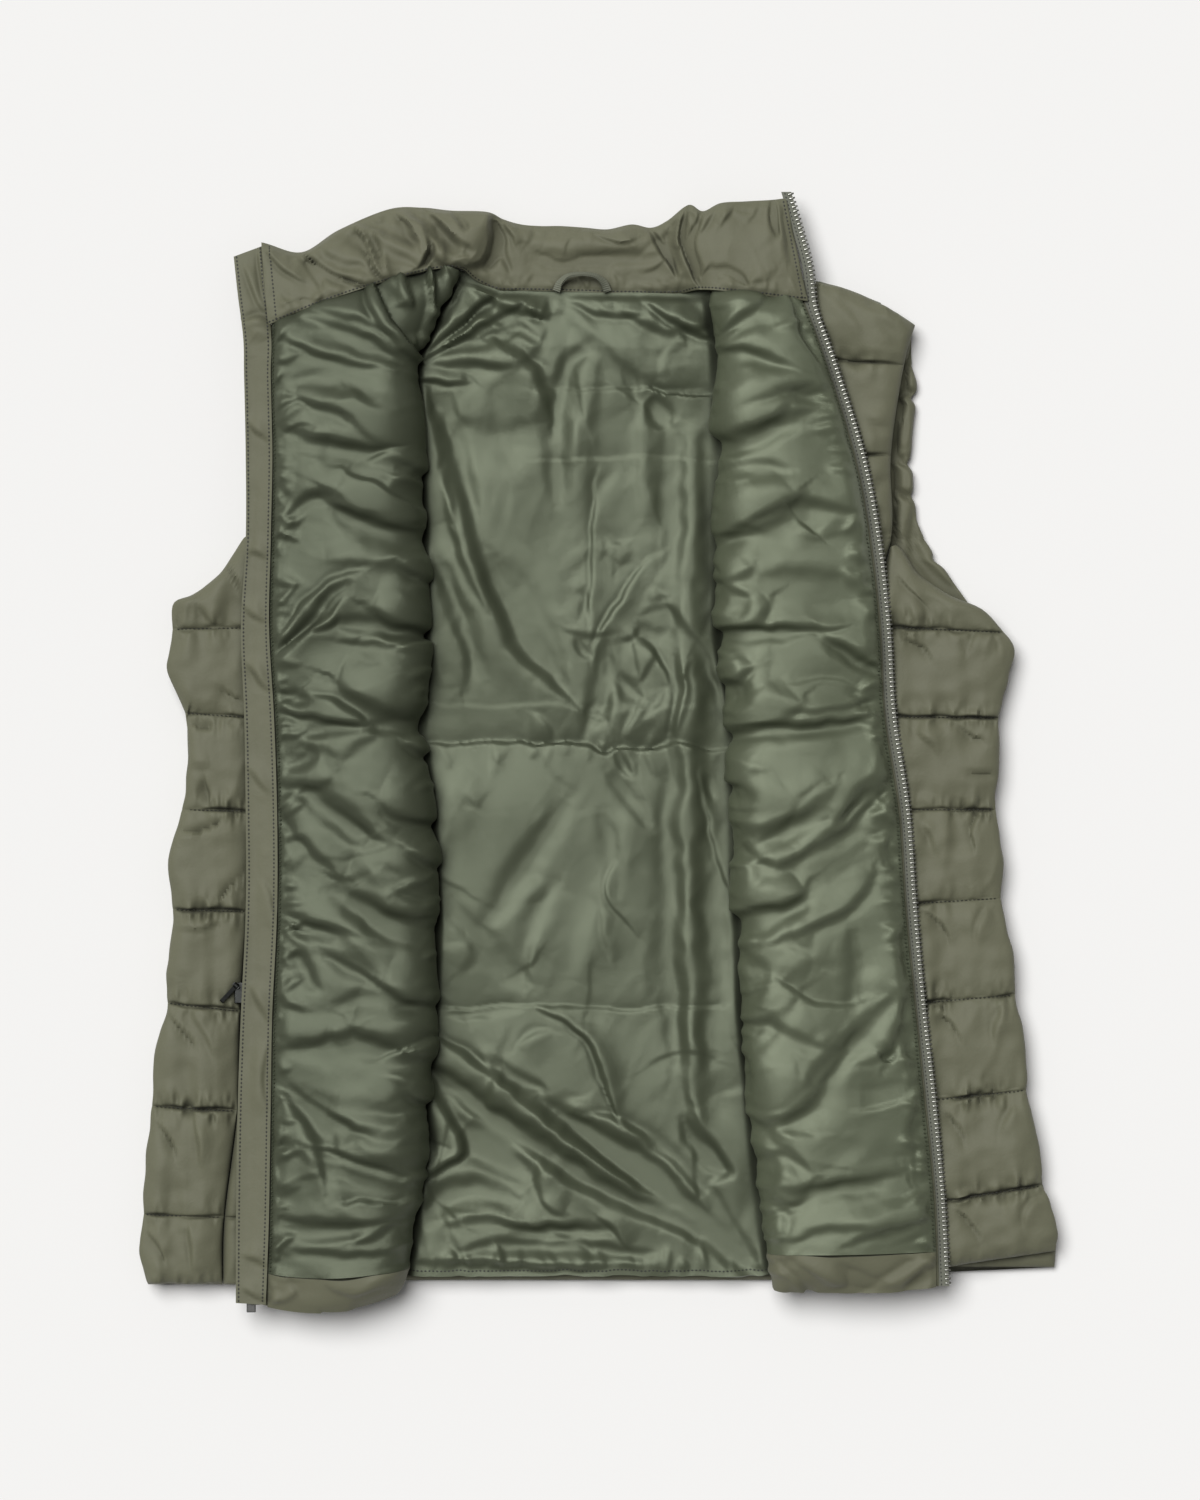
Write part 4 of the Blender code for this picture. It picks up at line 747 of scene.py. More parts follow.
FLAP_CREASES = (
    (2.2, 1.7, -1, (-222, 265, -212, 267, -206, 264, -202, 257)),
    (1.6, 1.4, 1, (-211, 308, -209, 294, -206, 278)),
    (1.6, 0.8, 1, (-221, 299, -215, 285, -206, 272)),
    (1.8, 0.9, 1, (-218, 205, -212, 201, -202, 192)),
    (1.6, 0.9, 1, (-219, 126, -212, 125, -205, 120)),
    (1.6, 0.8, 1, (-219, 93, -212, 86, -203, 79)),
    (1.8, 1.1, 1, (-219, 53, -211, 46, -201, 37)),
    (1.8, 0.8, 1, (-219, -6, -211, -14, -201, -26)),
    (2.2, 0.8, -1, (-208, -81, -203, -93, -201, -109)),
    (1.8, 1.0, 1, (-216, -146, -208, -155, -202, -166)),
    (2.2, 0.9, -1, (-203, -180, -208, -205, -205, -224)),
    (1.8, 0.9, 1, (-220, -310, -212, -312, -203, -317)),
    (1.8, 0.9, 1, (-222, -331, -213, -335, -205, -339)),
)
RIM_CREASES = (
    (1.6, -4.4, 0, (187, 223, 193, 221, 201, 219)),
    (1.6, -4.0, 0, (184, 182, 190, 179, 198, 177)),
    (1.6, -4.0, 0, (185, 161, 191, 159, 198, 156)),
    (1.6, -3.6, 0, (195, 153, 196, 136, 195, 117)),
    (3.0, 2.2, 0, (192, 218, 190, 205, 190, 188)),
    (2.6, 2.4, 0, (191, 174, 191, 166, 192, 161)),
    (2.8, 2.0, 0, (190, 150, 190, 136, 192, 124)),
    (2.6, -4.0, 0, (196, 125, 203, 112, 215, 99, 234, 89)),
    (1.3, -3.0, 0, (-184, 234, -187, 229, -192, 226)),
)
SHOULDER_CREASES = (
    (1.6, -2.0, 0, (167, 202, 175, 197, 183, 198)),
    (2.4, 1.8, 1, (166, 210, 175, 205, 184, 206)),
    (1.5, -2.2, 0, (172, 161, 177, 164, 182, 169)),
    (2.4, 2.0, 1, (174, 155, 180, 149, 184, 140)),
    (1.5, -2.4, 0, (177, 133, 182, 135, 187, 140)),
    (1.6, -1.8, 0, (179, 105, 185, 99, 188, 89)),
    (2.2, 1.6, -1, (140, 279, 156, 268, 166, 252)),
    (2.6, -1.6, 0, (177, 269, 185, 257, 187, 247)),
)

# Numbers of points along and across the cloths
FRONT_ROWS = 430
FRONT_POINTS = 120
SHELL_ROWS = 330
SIDE_ROWS = 280
BACK_ROWS = 460
BACK_COLUMNS = 168
SIDE_COLUMNS = 92
COLLAR_ROWS = 420
FLAP_COLUMNS = 24
COLLAR_COLUMNS = 56
BACK_SHELL_ROWS = 380
BACK_SHELL_COLUMNS = 112
FACING_ROWS = 16
FLAP_ROWS = 330
ZIP_ROWS = 400
TOP_ROWS = 40
TAPE_COLUMNS = 8
LOOP_COLUMNS = 9
HIDDEN_COLUMNS = 6
# Points of a front's section: under it, round its skin, in its slot, and on the lower run's top
SECTION_POINTS = {"bottom": 5, "skin": 30, "slot": 10, "top": 44}

# Small creases of the back lining: seed, count, corners, heading, length, width and height
BACK_SCATTER = (
    (11, 30, ((-105, -315), (95, 260)), 100, 44, 3.6, 1.0),
    (12, 22, ((-15, 0), (50, 130)), 60, 26, 2.6, 1.2),
    (13, 14, ((-110, 180), (70, 270)), 110, 38, 3.6, 0.9),
    (14, 22, ((-110, -320), (95, -150)), -35, 46, 3.4, 1.3),
)
# Gathers of the back lining: seed, path, direction, pitch, length and height
BACK_GATHERS = (
    (15, (-115, 4, 85, 3), (0, -1), 12, 14, 0.7),
    (17, (-110, -322, 105, -322), (0, 1), 8, 12, 1.0),
    (18, (-70, 281, 68, 279), (0, -1), 11, 12, 0.5),
)
# Gathers of a front lining: seed past the front's own, edge, pitch, length, and share of height
FRONT_GATHERS = ((1, "seam", 6, 17, 1.0), (3, "seam", 4.4, 7, 0.9), (2, "fold", 12, 20, 1.0))


def curve(rows, column, at):
    """A column of a table, read at any lines from a smooth curve through its rows."""
    stations = rows["line"]
    values = rows[column]
    step = np.diff(stations)
    slope = np.diff(values) / step
    inner = (slope[:-1] * step[1:] + slope[1:] * step[:-1]) / (step[:-1] + step[1:])
    tangent = np.concatenate([slope[:1], inner, slope[-1:]])
    i = np.clip(np.searchsorted(stations, at, side="right") - 1, 0, len(step) - 1)
    t = (at - stations[i]) / step[i]
    start = values[i] * (2 * t**3 - 3 * t**2 + 1) + values[i + 1] * (3 * t**2 - 2 * t**3)
    return start + step[i] * (tangent[i] * (t**3 - 2 * t**2 + t) + tangent[i + 1] * (t**3 - t**2))


def mix(start, end, share):
    """A value part of the way from a start to an end."""
    return start + (end - start) * share


def eased(share):
    """A share from 0 to 1 that starts and ends gently."""
    return share * share * (3 - 2 * share)


def crowded(count):
    """Shares from 0 to 1 that lie closer together towards both ends."""
    return 0.5 - 0.5 * np.cos(np.linspace(0, math.pi, count))


def bell(distance, width):
    """1 at no distance, and hardly anything past two widths."""
    return np.exp(-((distance / width) ** 2))


def joined(x, y, z):
    """Points from three coordinates, any of which may be one value for all."""
    return np.stack(np.broadcast_arrays(x, y, z), axis=-1)


def near_lines(line, crowding):
    """Line numbers drawn closer together at each quilt line."""
    return line - crowding * np.sin(2 * math.pi * line)


def rounded(share):
    """Rise of a quarter circle: 0 at an edge and 1 well inside it."""
    return np.sqrt(1 - (1 - np.clip(share, 0, 1)) ** 2)


def puff(line):
    """Fullness of the padding: 0 on a quilt line and 1 halfway to the next."""
    part = line - np.floor(line)
    return np.sqrt(4 * part * (1 - part))


def end_fullness(line):
    """How far the padding has filled out from the seam at a panel's end."""
    return mix(END_LEAST, 1, rounded(np.minimum(line, LAST_LINE - line) / END_ROUND))


def padding(line, crown, full_height):
    """Thickness of quilted padding. crown is 0 at a panel's edge and 1 well inside it."""
    sunk = LOWER_TROUGH * (1 - puff(line)) * mix(TROUGH_AT_EDGE, 1, crown)
    return end_fullness(line) * (full_height * mix(SEAM_FULLNESS, 1, crown) - sunk)


def front_widths(front, line):
    """Widths of the folded-back run and of the lower run, from the fold outwards."""
    fold_x = curve(front, "fold_x", line)
    upper = np.abs(curve(front, "edge_x", line) - fold_x)
    lower = np.abs(curve(front, "seam_x", line) - fold_x)
    return upper, lower


def drawn_in_at(line):
    """How far a quilt line or an end seam draws the inner fold in."""
    return LINE_PULL * (1 - puff(line)) + END_PULL * (1 - end_fullness(line))


def front_point(front, line, inward, z, lower=False):
    """Points of a front, a distance outwards from its inner fold."""
    share = inward / front_widths(front, line)[1 if lower else 0]
    end, bow = ("seam_y", "low_bow") if lower else ("edge_y", "roll_bow")
    y = mix(curve(front, "fold_y", line), curve(front, end, line), share)
    y = y + curve(front, bow, line) * 4 * share * (1 - share)
    reach = inward + drawn_in_at(line) * (1 - share)
    x = curve(front, "fold_x", line) + front["outward"] * reach
    return joined(x, y, z)


def roll_top(front, line, inward):
    """Height of the folded-back run's upper side."""
    share = np.minimum(inward / front_widths(front, line)[0], 1)
    height = curve(ROLL, "height", share * (len(ROLL_HEIGHTS) - 1))
    z = mix(UPPER_BOTTOM + ROLL_LEAST, height, end_fullness(line))
    z = z - NECK_DIP * bell(line, NECK_DIP_LINES) * (1 - share)
    return z - ROLL_TROUGH * (1 - puff(line)) * (1 - share**2)


def lower_top(front, line, inward):
    """Height of the lower run's upper side."""
    crown = rounded((front_widths(front, line)[1] - inward) / SEAM_ROUND)
    return LOWER_BOTTOM + padding(line, crown, LOWER_PUFF)


def lower_bottom(inward):
    """Height of the lower run's underside, which clears the lining tucked in under the fold."""
    return LOWER_BOTTOM + TUCK_LIFT * np.clip((TUCK_END - inward) / TUCK_RAMP, 0, 1)


def skin_point(front, line, along):
    """Points of the shell's outside round the inner fold. along is 0 at the fold, grows over
    the top to the outer edge, and is negative underneath."""
    turn = np.minimum(np.abs(along) / FOLD_RADIUS, math.pi / 2)
    inward = FOLD_RADIUS * (1 - np.cos(turn)) + np.maximum(np.abs(along) - FOLD_QUARTER, 0)
    level = np.where(along > 0, roll_top(front, line, inward), lower_bottom(inward))
    points = front_point(front, line, inward, mix(FOLD_MID, level, np.sin(turn)))
    under = np.broadcast_to(curve(front, "fold_y", line), points[..., 1].shape)
    points[..., 1] = np.where(along < 0, under, points[..., 1])
    return points


def along_at(inward):
    """How far along the skin a point on the top side lies."""
    return inward - FOLD_RADIUS + FOLD_QUARTER


def smooth_noise(x, y, size, seed):
    """Soft random heights from -1 to 1, with features of about a size."""
    heights = np.random.default_rng(seed).uniform(-1, 1, (NOISE_CELLS, NOISE_CELLS))
    u, v = x / size + NOISE_ORIGIN[0], y / size + NOISE_ORIGIN[1]
    i, j = np.floor(u).astype(int), np.floor(v).astype(int)
    s, t = eased(u - i), eased(v - j)
    i, j = i % NOISE_CELLS, j % NOISE_CELLS
    i1, j1 = (i + 1) % NOISE_CELLS, (j + 1) % NOISE_CELLS
    return mix(mix(heights[i, j], heights[i1, j], s), mix(heights[i, j1], heights[i1, j1], s), t)


def noise_along(x, size, seed):
    """Soft random heights that change in one direction only."""
    return smooth_noise(x, np.zeros_like(x), size, seed)


def smooth_path(path):
    """A path with its corners cut twice."""
    points = np.reshape(path, (-1, 2)).astype(float)
    for _ in range(2):
        first, second = points[:-1], points[1:]
        cut = np.stack([mix(first, second, 0.25), mix(first, second, 0.75)], axis=1).reshape(-1, 2)
        points = np.concatenate([points[:1], cut[1:-1], points[-1:]])
    return points


def leaning(nearest, over, steep, soft, steep_power, soft_power):
    """Section of a fold that leans, 1 at its crest. over is positive on the steep side."""
    width = np.where(over > 0, steep, soft)
    return np.exp(-((nearest / width) ** np.where(over > 0, steep_power, soft_power)))


def crease_height(x, y, crease):
    """Height of one soft ridge or groove that fades at its ends. A ridge that leans has a
    hollow along its steep side."""
    width, height, lean, path = crease
    points = smooth_path(path) if len(path) > 4 else np.reshape(path, (-1, 2)).astype(float)
    runs = np.diff(points, axis=0)
    lengths = np.hypot(runs[:, 0], runs[:, 1])
    before = np.concatenate([[0], np.cumsum(lengths)])
    nearest = np.full(x.shape, np.inf)
    side = np.zeros(x.shape)
    place = np.zeros(x.shape)
    for start, run, length, done in zip(points, runs, lengths, before):
        ahead = run / length
        dx, dy = x - start[0], y - start[1]
        share = np.clip(dx * ahead[0] + dy * ahead[1], 0, length)
        away = np.hypot(dx - share * ahead[0], dy - share * ahead[1])
        closer = away < nearest
        nearest = np.where(closer, away, nearest)
        side = np.where(closer, np.sign(ahead[1] * dx - ahead[0] * dy) * away, side)
        place = np.where(closer, done + share, place)
    swell = np.sin(math.pi * np.clip(place / before[-1], 0, 1))
    steep = width * (STEEP_AT_END + STEEP_GAIN * swell)
    soft = steep * (FLAT_SIDE + SOFT_SIDE * abs(lean))
    over = side * (lean or 1)
    nearest = np.hypot(nearest, CREST_ROUND * width) - CREST_ROUND * width
    if height < 0 and lean:
        groove = leaning(nearest, over, SLIT_SPREAD * steep, soft, 2, 1.2)
        return height * mix(0.35, 1, swell**0.5) * groove
    if height < 0:
        ridge = bell(nearest, GROOVE_SPREAD * steep)
    else:
        ridge = leaning(nearest, over, steep, soft, 1.8, 1.4)
    hollow = HOLLOW_DEPTH * abs(lean) * bell(over - HOLLOW_PLACE * steep, HOLLOW_SPREAD * steep)
    return height * mix(0.2, 1, swell**0.7) * (ridge - hollow * bell(nearest, HOLLOW_REACH * steep))


def wander(x, y, seed):
    """Places moved softly about, so that the folds wander."""
    dx, dy = 0, 0
    for i, (height, size) in enumerate(WANDER):
        dx = dx + height * smooth_noise(x, y, size, seed + i)
        dy = dy + height * smooth_noise(x, y, size, seed + len(WANDER) + i)
    return x + dx, y + dy


def relief(x, y, creases):
    """Sum of many creases, each worked out only near its own path."""
    total = np.zeros(x.shape)
    x, y = wander(x, y, WANDER_SEED)
    for crease in creases:
        path = np.reshape(crease[3], (-1, 2))
        reach = CREASE_REACH * crease[0]
        near = (x > path[:, 0].min() - reach) & (x < path[:, 0].max() + reach)
        near &= (y > path[:, 1].min() - reach) & (y < path[:, 1].max() + reach)
        if near.any():
            total[near] += crease_height(x[near], y[near], crease)
    return total


def crumple(x, y, seed, heading, length, width):
    """Sharp-crested waves that run about one way, branch, and die out in places."""
    x, y = wander(x, y, seed + 4)
    turn = math.radians(heading)
    along = (x * math.cos(turn) + y * math.sin(turn)) / length
    over = (y * math.cos(turn) - x * math.sin(turn)) / width
    wave = smooth_noise(along, over, 1, seed) + 0.35 * smooth_noise(along, over, 0.47, seed + 1)
    present = np.clip(CRUMPLE_PRESENT + 0.9 * smooth_noise(x, y, CRUMPLE_PATCH, seed + 2), 0, 1)
    return present * (CRUMPLE_LEVEL - np.sqrt(wave**2 + CRUMPLE_CREST))


def scattered(seed, count, corners, heading, length, width, height):
    """Small uneven creases over an area, round a main heading in degrees."""
    rng = np.random.default_rng(seed)
    (x0, y0), (x1, y1) = corners
    found = []
    for _ in range(count):
        middle = np.array([rng.uniform(x0, x1), rng.uniform(y0, y1)])
        angle = math.radians(heading + rng.normal(0, 32))
        half = length * rng.uniform(0.3, 1.1) / 2
        ahead = np.array([math.cos(angle), math.sin(angle)])
        bend = np.array([-ahead[1], ahead[0]]) * half * rng.uniform(-0.35, 0.35)
        path = (*(middle - ahead * half), *(middle + bend), *(middle + ahead * half))
        tall = height * rng.uniform(0.3, 1.2) * rng.choice((-1, 1, 1))
        found.append((width * rng.uniform(0.7, 1.4), tall, rng.choice((-1, 1)), path))
    return found


def gathers(seed, path, toward, pitch, length, height):
    """Short creases that start at a seam, where its stitches take up the cloth."""
    rng = np.random.default_rng(seed)
    points = np.reshape(path, (-1, 2)).astype(float)
    before = np.concatenate([[0], np.cumsum(np.hypot(*np.diff(points, axis=0).T))])
    place = rng.uniform(0, pitch)
    found = []
    while place < before[-1]:
        x, y = (np.interp(place, before, points[:, i]) for i in (0, 1))
        reach = length * rng.uniform(0.35, 1.3)
        slant = rng.normal(0, 0.45)
        run_x, run_y = toward[0] * reach, toward[1] * reach
        end = (x + run_x - run_y * slant, y + run_y + run_x * slant)
        found.append((rng.uniform(1.5, 2.6), height * rng.uniform(0.4, 1.3), 0, (x, y, *end)))
        place += pitch * rng.uniform(0.5, 1.6)
    return found


def normals_of(grid):
    """Outward directions of a grid of points, most of which faces up."""
    normal = np.cross(np.gradient(grid, axis=1), np.gradient(grid, axis=0))
    normal /= np.maximum(np.linalg.norm(normal, axis=-1, keepdims=True), 1e-9)
    return normal if normal[..., 2].sum() > 0 else -normal


def add_object(name, data):
    """A new object in the scene."""
    made = bpy.data.objects.new(name, data)
    bpy.context.scene.collection.objects.link(made)
    return made


def add_mesh(name, points, faces, material, body="vest", node=(), slot="shell_cloth", turn=True):
    """One piece of the vest, from points in millimetres."""
    mesh = bpy.data.meshes.new(name)
    mesh.from_pydata((np.asarray(points) * MM).tolist(), [], faces)
    shape = bmesh.new()
    shape.from_mesh(mesh)
    bmesh.ops.remove_doubles(shape, verts=shape.verts, dist=1e-7)
    if turn:
        bmesh.ops.recalc_face_normals(shape, faces=shape.faces)
    shape.to_mesh(mesh)
    shape.free()
    mesh.shade_smooth()
    mesh.set_sharp_from_angle(angle=math.radians(55))
    mesh.materials.append(material)
    made = add_object(name, mesh)
    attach(made, body)
    if node:
        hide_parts(*node)
    return made


def grid_faces(rows, columns, closed=False):
    """Four-sided faces of a grid whose rows may close into rings."""
    i, j = np.meshgrid(np.arange(rows - 1), np.arange(columns if closed else columns - 1), indexing="ij")
    row, next_row = i * columns, (i + 1) * columns
    ahead = (j + 1) % columns
    faces = np.stack([row + j, row + ahead, next_row + ahead, next_row + j], -1)
    return faces.reshape(-1, 4).tolist()


def add_sheet(name, grid, wall, material, **facts):
    """A cloth from its upper points, its edges turned down by the wall."""
    normal = normals_of(grid)
    full = np.pad(grid, ((1, 1), (1, 1), (0, 0)), mode="edge")
    down = np.pad(normal, ((1, 1), (1, 1), (0, 0)), mode="edge") * wall
    full[[0, -1]] -= down[[0, -1]]
    full[1:-1, [0, -1]] -= down[1:-1, [0, -1]]
    made = add_mesh(name, full.reshape(-1, 3), grid_faces(*full.shape[:2]), material, turn=False, **facts)
    if sum(face.normal.z * face.area for face in made.data.polygons) < 0:
        made.data.flip_normals()
    return made


def add_rings(name, rings, material, **facts):
    """A closed piece through rings, capped at both ends."""
    rows, columns = rings.shape[:2]
    faces = grid_faces(rows, columns, closed=True)
    faces += [list(range(columns)), list(range((rows - 1) * columns, rows * columns))]
    return add_mesh(name, rings.reshape(-1, 3), faces, material, **facts)


def along_path(path, pitch):
    """Points at an even pitch along a path in space, with the directions there."""
    steps = np.linalg.norm(np.diff(path, axis=0), axis=1)
    before = np.concatenate([[0], np.cumsum(steps)])
    places = np.arange(pitch / 2, before[-1], pitch)
    behind, points, ahead = (
        np.stack([np.interp(places + shift, before, path[:, i]) for i in range(3)], axis=1)
        for shift in (-pitch / 3, 0, pitch / 3)
    )
    run = (ahead - points) + (points - behind)
    return points, run / np.linalg.norm(run, axis=1, keepdims=True)


def add_stitches(name, paths, pitch, size, material, slot, up=(0, 0, 1)):
    """Rows of stitches, each a small pointed bead of thread that lies on the cloth."""
    length, width, rise = size
    points, faces = [], []
    for path in paths:
        middles, ahead = along_path(np.asarray(path), pitch)
        for middle, run in zip(middles, ahead):
            aside = np.cross(up, run)
            aside = aside / np.linalg.norm(aside) * width / 2
            over = np.cross(run, aside)
            over = over / np.linalg.norm(over) * rise
            tip = run * length / 2
            start = len(points)
            points += [middle - tip, middle + tip, middle + aside, middle - aside]
            points += [middle + over, middle - over * STITCH_SUNK]
            for a, b in ((2, 4), (4, 3), (3, 5), (5, 2)):
                faces += [(start, start + a, start + b), (start + 1, start + b, start + a)]
    return add_mesh(name, points, faces, material, slot=slot)


def column_path(grid, at, rise=0.0):
    """The path down a grid at a column, which may lie between two."""
    j = int(min(max(at, 0), grid.shape[1] - 2))
    path = mix(grid[:, j], grid[:, j + 1], at - j)
    return path + np.array([0, 0, rise])


def row_path(grid, at, rise=0.0):
    """The path across a grid at a row, which may lie between two."""
    return column_path(grid.transpose(1, 0, 2), at, rise)


def softened(grid, passes):
    """A grid whose bends across its columns are spread over their neighbours."""
    for _ in range(passes):
        middle = (grid[:, :-2] + 2 * grid[:, 1:-1] + grid[:, 2:]) / 4
        grid = np.concatenate([grid[:, :1], middle, grid[:, -1:]], axis=1)
    return grid


def softened_down(grid, passes):
    """A grid whose bends down its rows are spread over their neighbours."""
    return softened(grid.transpose(1, 0, 2), passes).transpose(1, 0, 2)


def front_lining_base(front, line, along):
    """The padding's outside, which the lining follows less and less away from the fold."""
    base = softened_down(softened(skin_point(front, line, along), ROUND_PASSES), SOFT_PASSES)
    even = softened_down(base, EVEN_PASSES)
    clear = np.clip((along - FOLD_QUARTER) / EVEN_FROM, 0, 1)[..., None]
    return mix(base, even, eased(clear))


def front_lining_grid(front, creases, lines, wall):
    """Upper points of a cloth that wraps the inner fold and covers the folded-back run."""
    line = np.array(lines)[:, None]
    reach = np.abs(curve(front, "lining_x", line) - curve(front, "fold_x", line))
    under = -FOLD_QUARTER - TUCK_LENGTH
    last = along_at(reach - 1.0)
    along = mix(under, last, np.linspace(0, 1, FRONT_POINTS)[None, :])
    base = front_lining_base(front, line, along)
    normal = normals_of(base)
    x, y = base[..., 0], base[..., 1]
    long_crumple, short_crumple = FRONT_CRUMPLES
    folds = FRONT_RELIEF * relief(x, y, creases)
    folds += FRONT_SWELL[0] * smooth_noise(x, y, FRONT_SWELL[1], 5)
    folds += long_crumple * crumple(x, y, 80, 12, 80, 40) + short_crumple * crumple(x, y, 90, -16, 30, 12)
    pocket = np.clip((last - along) / POCKET_WIDTH, 0, 1)
    calm = np.clip((along - under) / FOLD_QUARTER, 0, 1)
    calm = calm * (POCKET_LEAST + (1 - POCKET_LEAST) * pocket * (2 - pocket))
    lift = FOLD_CEILING - np.logaddexp(0, FOLD_CEILING - np.logaddexp(0, LINING_LIFT + folds))
    lift = SKIN_GAP + wall + np.maximum(lift, 0) * calm
    least = np.sum((skin_point(front, line, along) - base) * normal, axis=2) + LEAST_CLEAR
    return base + normal * np.maximum(lift, least)[..., None]


def ring_of_front(front, line):
    """Section of a front's shell: lower run, inner fold and folded-back run."""
    upper, lower = front_widths(front, line)
    shares = {part: np.linspace(0, 1, count)[None, :] for part, count in SECTION_POINTS.items()}
    rim = mix(LOWER_BOTTOM, lower_top(front, line, lower), 0.5)
    bottom = mix(lower - RIM_INSET, TUCK_END, shares["bottom"])
    along = mix(-FOLD_QUARTER - TUCK_LENGTH - 2, along_at(upper), shares["skin"])
    slot = mix(upper - 4, SLOT_END, shares["slot"])
    top = mix(SLOT_END, lower - 0.6, shares["top"])
    quilted = front_point(front, line, top, lower_top(front, line, top), True)
    crown = rounded((lower - top) / SEAM_ROUND) * np.clip((top - SLOT_END) / 6, 0, 1)
    place = quilted[..., 0], quilted[..., 1]
    quilted[..., 2] += crown * (puckers(*place, line, 33) + relief(*place, SHOULDER_CREASES))
    parts = [
        front_point(front, line, lower, rim, True),
        front_point(front, line, bottom, LOWER_BOTTOM, True),
        skin_point(front, line, along),
        front_point(front, line, upper, UPPER_BOTTOM + ROLL_LEAST / 2),
        front_point(front, line, slot, UPPER_BOTTOM),
        quilted,
    ]
    return np.concatenate(parts, axis=1)


def puckers(x, y, line, seed):
    """Short wrinkles across the quilt lines, where the stitches take up the shell."""
    part = line + 0.02 * noise_along(x, 9, seed + 5)
    from_line = np.abs(part - np.round(part)) * CHANNEL
    streaks = smooth_noise(x, y * 0.3, 4.5, seed) + 0.8 * smooth_noise(x, y * 0.4, 2.8, seed + 1)
    bunched = np.clip(0.55 + 1.1 * smooth_noise(x, line * CHANNEL, 27, seed + 6), 0.12, 1.2)
    soft = 1.7 * smooth_noise(x, y, 26, seed + 2) + 0.8 * smooth_noise(x, y * 1.6, 11, seed + 3)
    soft += 1.6 * crumple(x, y, seed + 10, 70, 46, 17)
    long = smooth_noise(x, y * 0.12, 9, seed + 4)
    ruffle = SHORT_PUCKERS[0] * bunched * streaks * bell(from_line, SHORT_PUCKERS[1])
    ruffle = ruffle + LONG_PUCKERS[0] * long * bell(from_line, LONG_PUCKERS[1])
    slit = GROOVE_DEPTH * bunched * bell(from_line, GROOVE_WIDTH)
    return ruffle * np.clip(from_line / 1.5, 0.4, 1) - slit + soft * np.clip(from_line / 10, 0, 1)


def side_section(front, side, line, across):
    """Upper side of a side panel, how full it is and its width. across is 0 at its outer edge
    and 1 at its seam."""
    out = front["outward"]
    side_x = curve(side, "x", line) - out * SIDE_PULL * (1 - puff(line))
    seam_x = curve(front, "seam_x", line) + out * GAP
    width = np.abs(seam_x - side_x)
    x = mix(side_x, seam_x, across)
    y = mix(curve(side, "y", line), curve(front, "seam_y", line), across)
    crown = rounded(np.minimum(across, 1 - across) * width / np.minimum(SEAM_ROUND, width / 2))
    grown = mix(0.55, 1, np.clip((line - side["line"][0]) / 0.5, 0, 1))
    z = LOWER_BOTTOM + grown * padding(line, crown, SIDE_PUFF)
    return joined(x, y, z), crown, width


def make_side(name, front, side, creases, seed, material):
    """A side panel's shell, and the paths of the stitches along its quilt lines."""
    line = near_lines(np.linspace(side["line"][0], LAST_LINE, SIDE_ROWS)[:, None], SIDE_CROWDING)
    across = crowded(SIDE_COLUMNS)[None, :]
    top, crown, width = side_section(front, side, line, across)
    ragged = noise_along(line * CHANNEL, 11, seed + 8)
    top[..., 0] += 1.1 * ragged * np.clip(1 - 4 * across, 0, 1)
    x, y = top[..., 0], top[..., 1]
    top[..., 2] += crown * (puckers(x, y, line, seed) + 1.5 * relief(x, y, creases))
    edge = RIM_INSET / np.maximum(width, 6 * RIM_INSET)
    back = mix(1 - edge, edge, np.linspace(0, 1, 8)[None, :])
    under = side_section(front, side, line, back)[0]
    under_x = mix(under[..., 0], x[:, :1], (1 - back) ** 8)
    under = joined(under_x, under[..., 1], LOWER_BOTTOM)
    rings = np.concatenate([top, under], axis=1)
    made = add_rings(f"{name}_side_shell_cloth", rings, material, node=(f"{name}_side_shell",))
    quilting = []
    for quilt_line in range(math.ceil(side["line"][0]), LAST_LINE):
        at = np.full((1, 1), float(quilt_line))
        row = side_section(front, side, at, np.linspace(0.03, 0.97, 40)[None, :])[0][0]
        quilting.append(row + np.array([0, 0, 0.15]))
    return quilting


def edge_at(side, armhole, y):
    """X of the back's outer edge at a height up the garment."""
    below = side["line"] >= 4
    hole = sorted(armhole, key=lambda point: -point[1])
    ys = [-point[1] for point in hole] + list(-side["y"][below])
    xs = [point[0] for point in hole] + list(side["x"][below])
    return np.interp(-y, ys, xs)


def fold_at(front, y):
    """X of a front's inner fold at a height up the garment."""
    return np.interp(-y, -front["fold_y"], front["fold_x"])


def seam_at(front, column, y):
    """A value of a front's table, read where its outer seam is at a height up the garment."""
    return np.interp(-y, -front["seam_y"], front[column])


def back_edges(y):
    """X of the back's right and left edges at a height up the garment."""
    return edge_at(RIGHT_SIDE, RIGHT_BACK_ARMHOLE, y), edge_at(LEFT_SIDE, LEFT_BACK_ARMHOLE, y)


def top_of_back(x):
    """Y of the shoulders and the neck."""
    tops = sorted(LEFT_SHOULDER + BACK_NECK + RIGHT_SHOULDER)
    return np.interp(x, [p[0] for p in tops], [p[1] for p in tops])


def foot_of_back(x):
    """Y of the back's hem."""
    return np.interp(x, [p[0] for p in BACK_HEM], [p[1] for p in BACK_HEM])


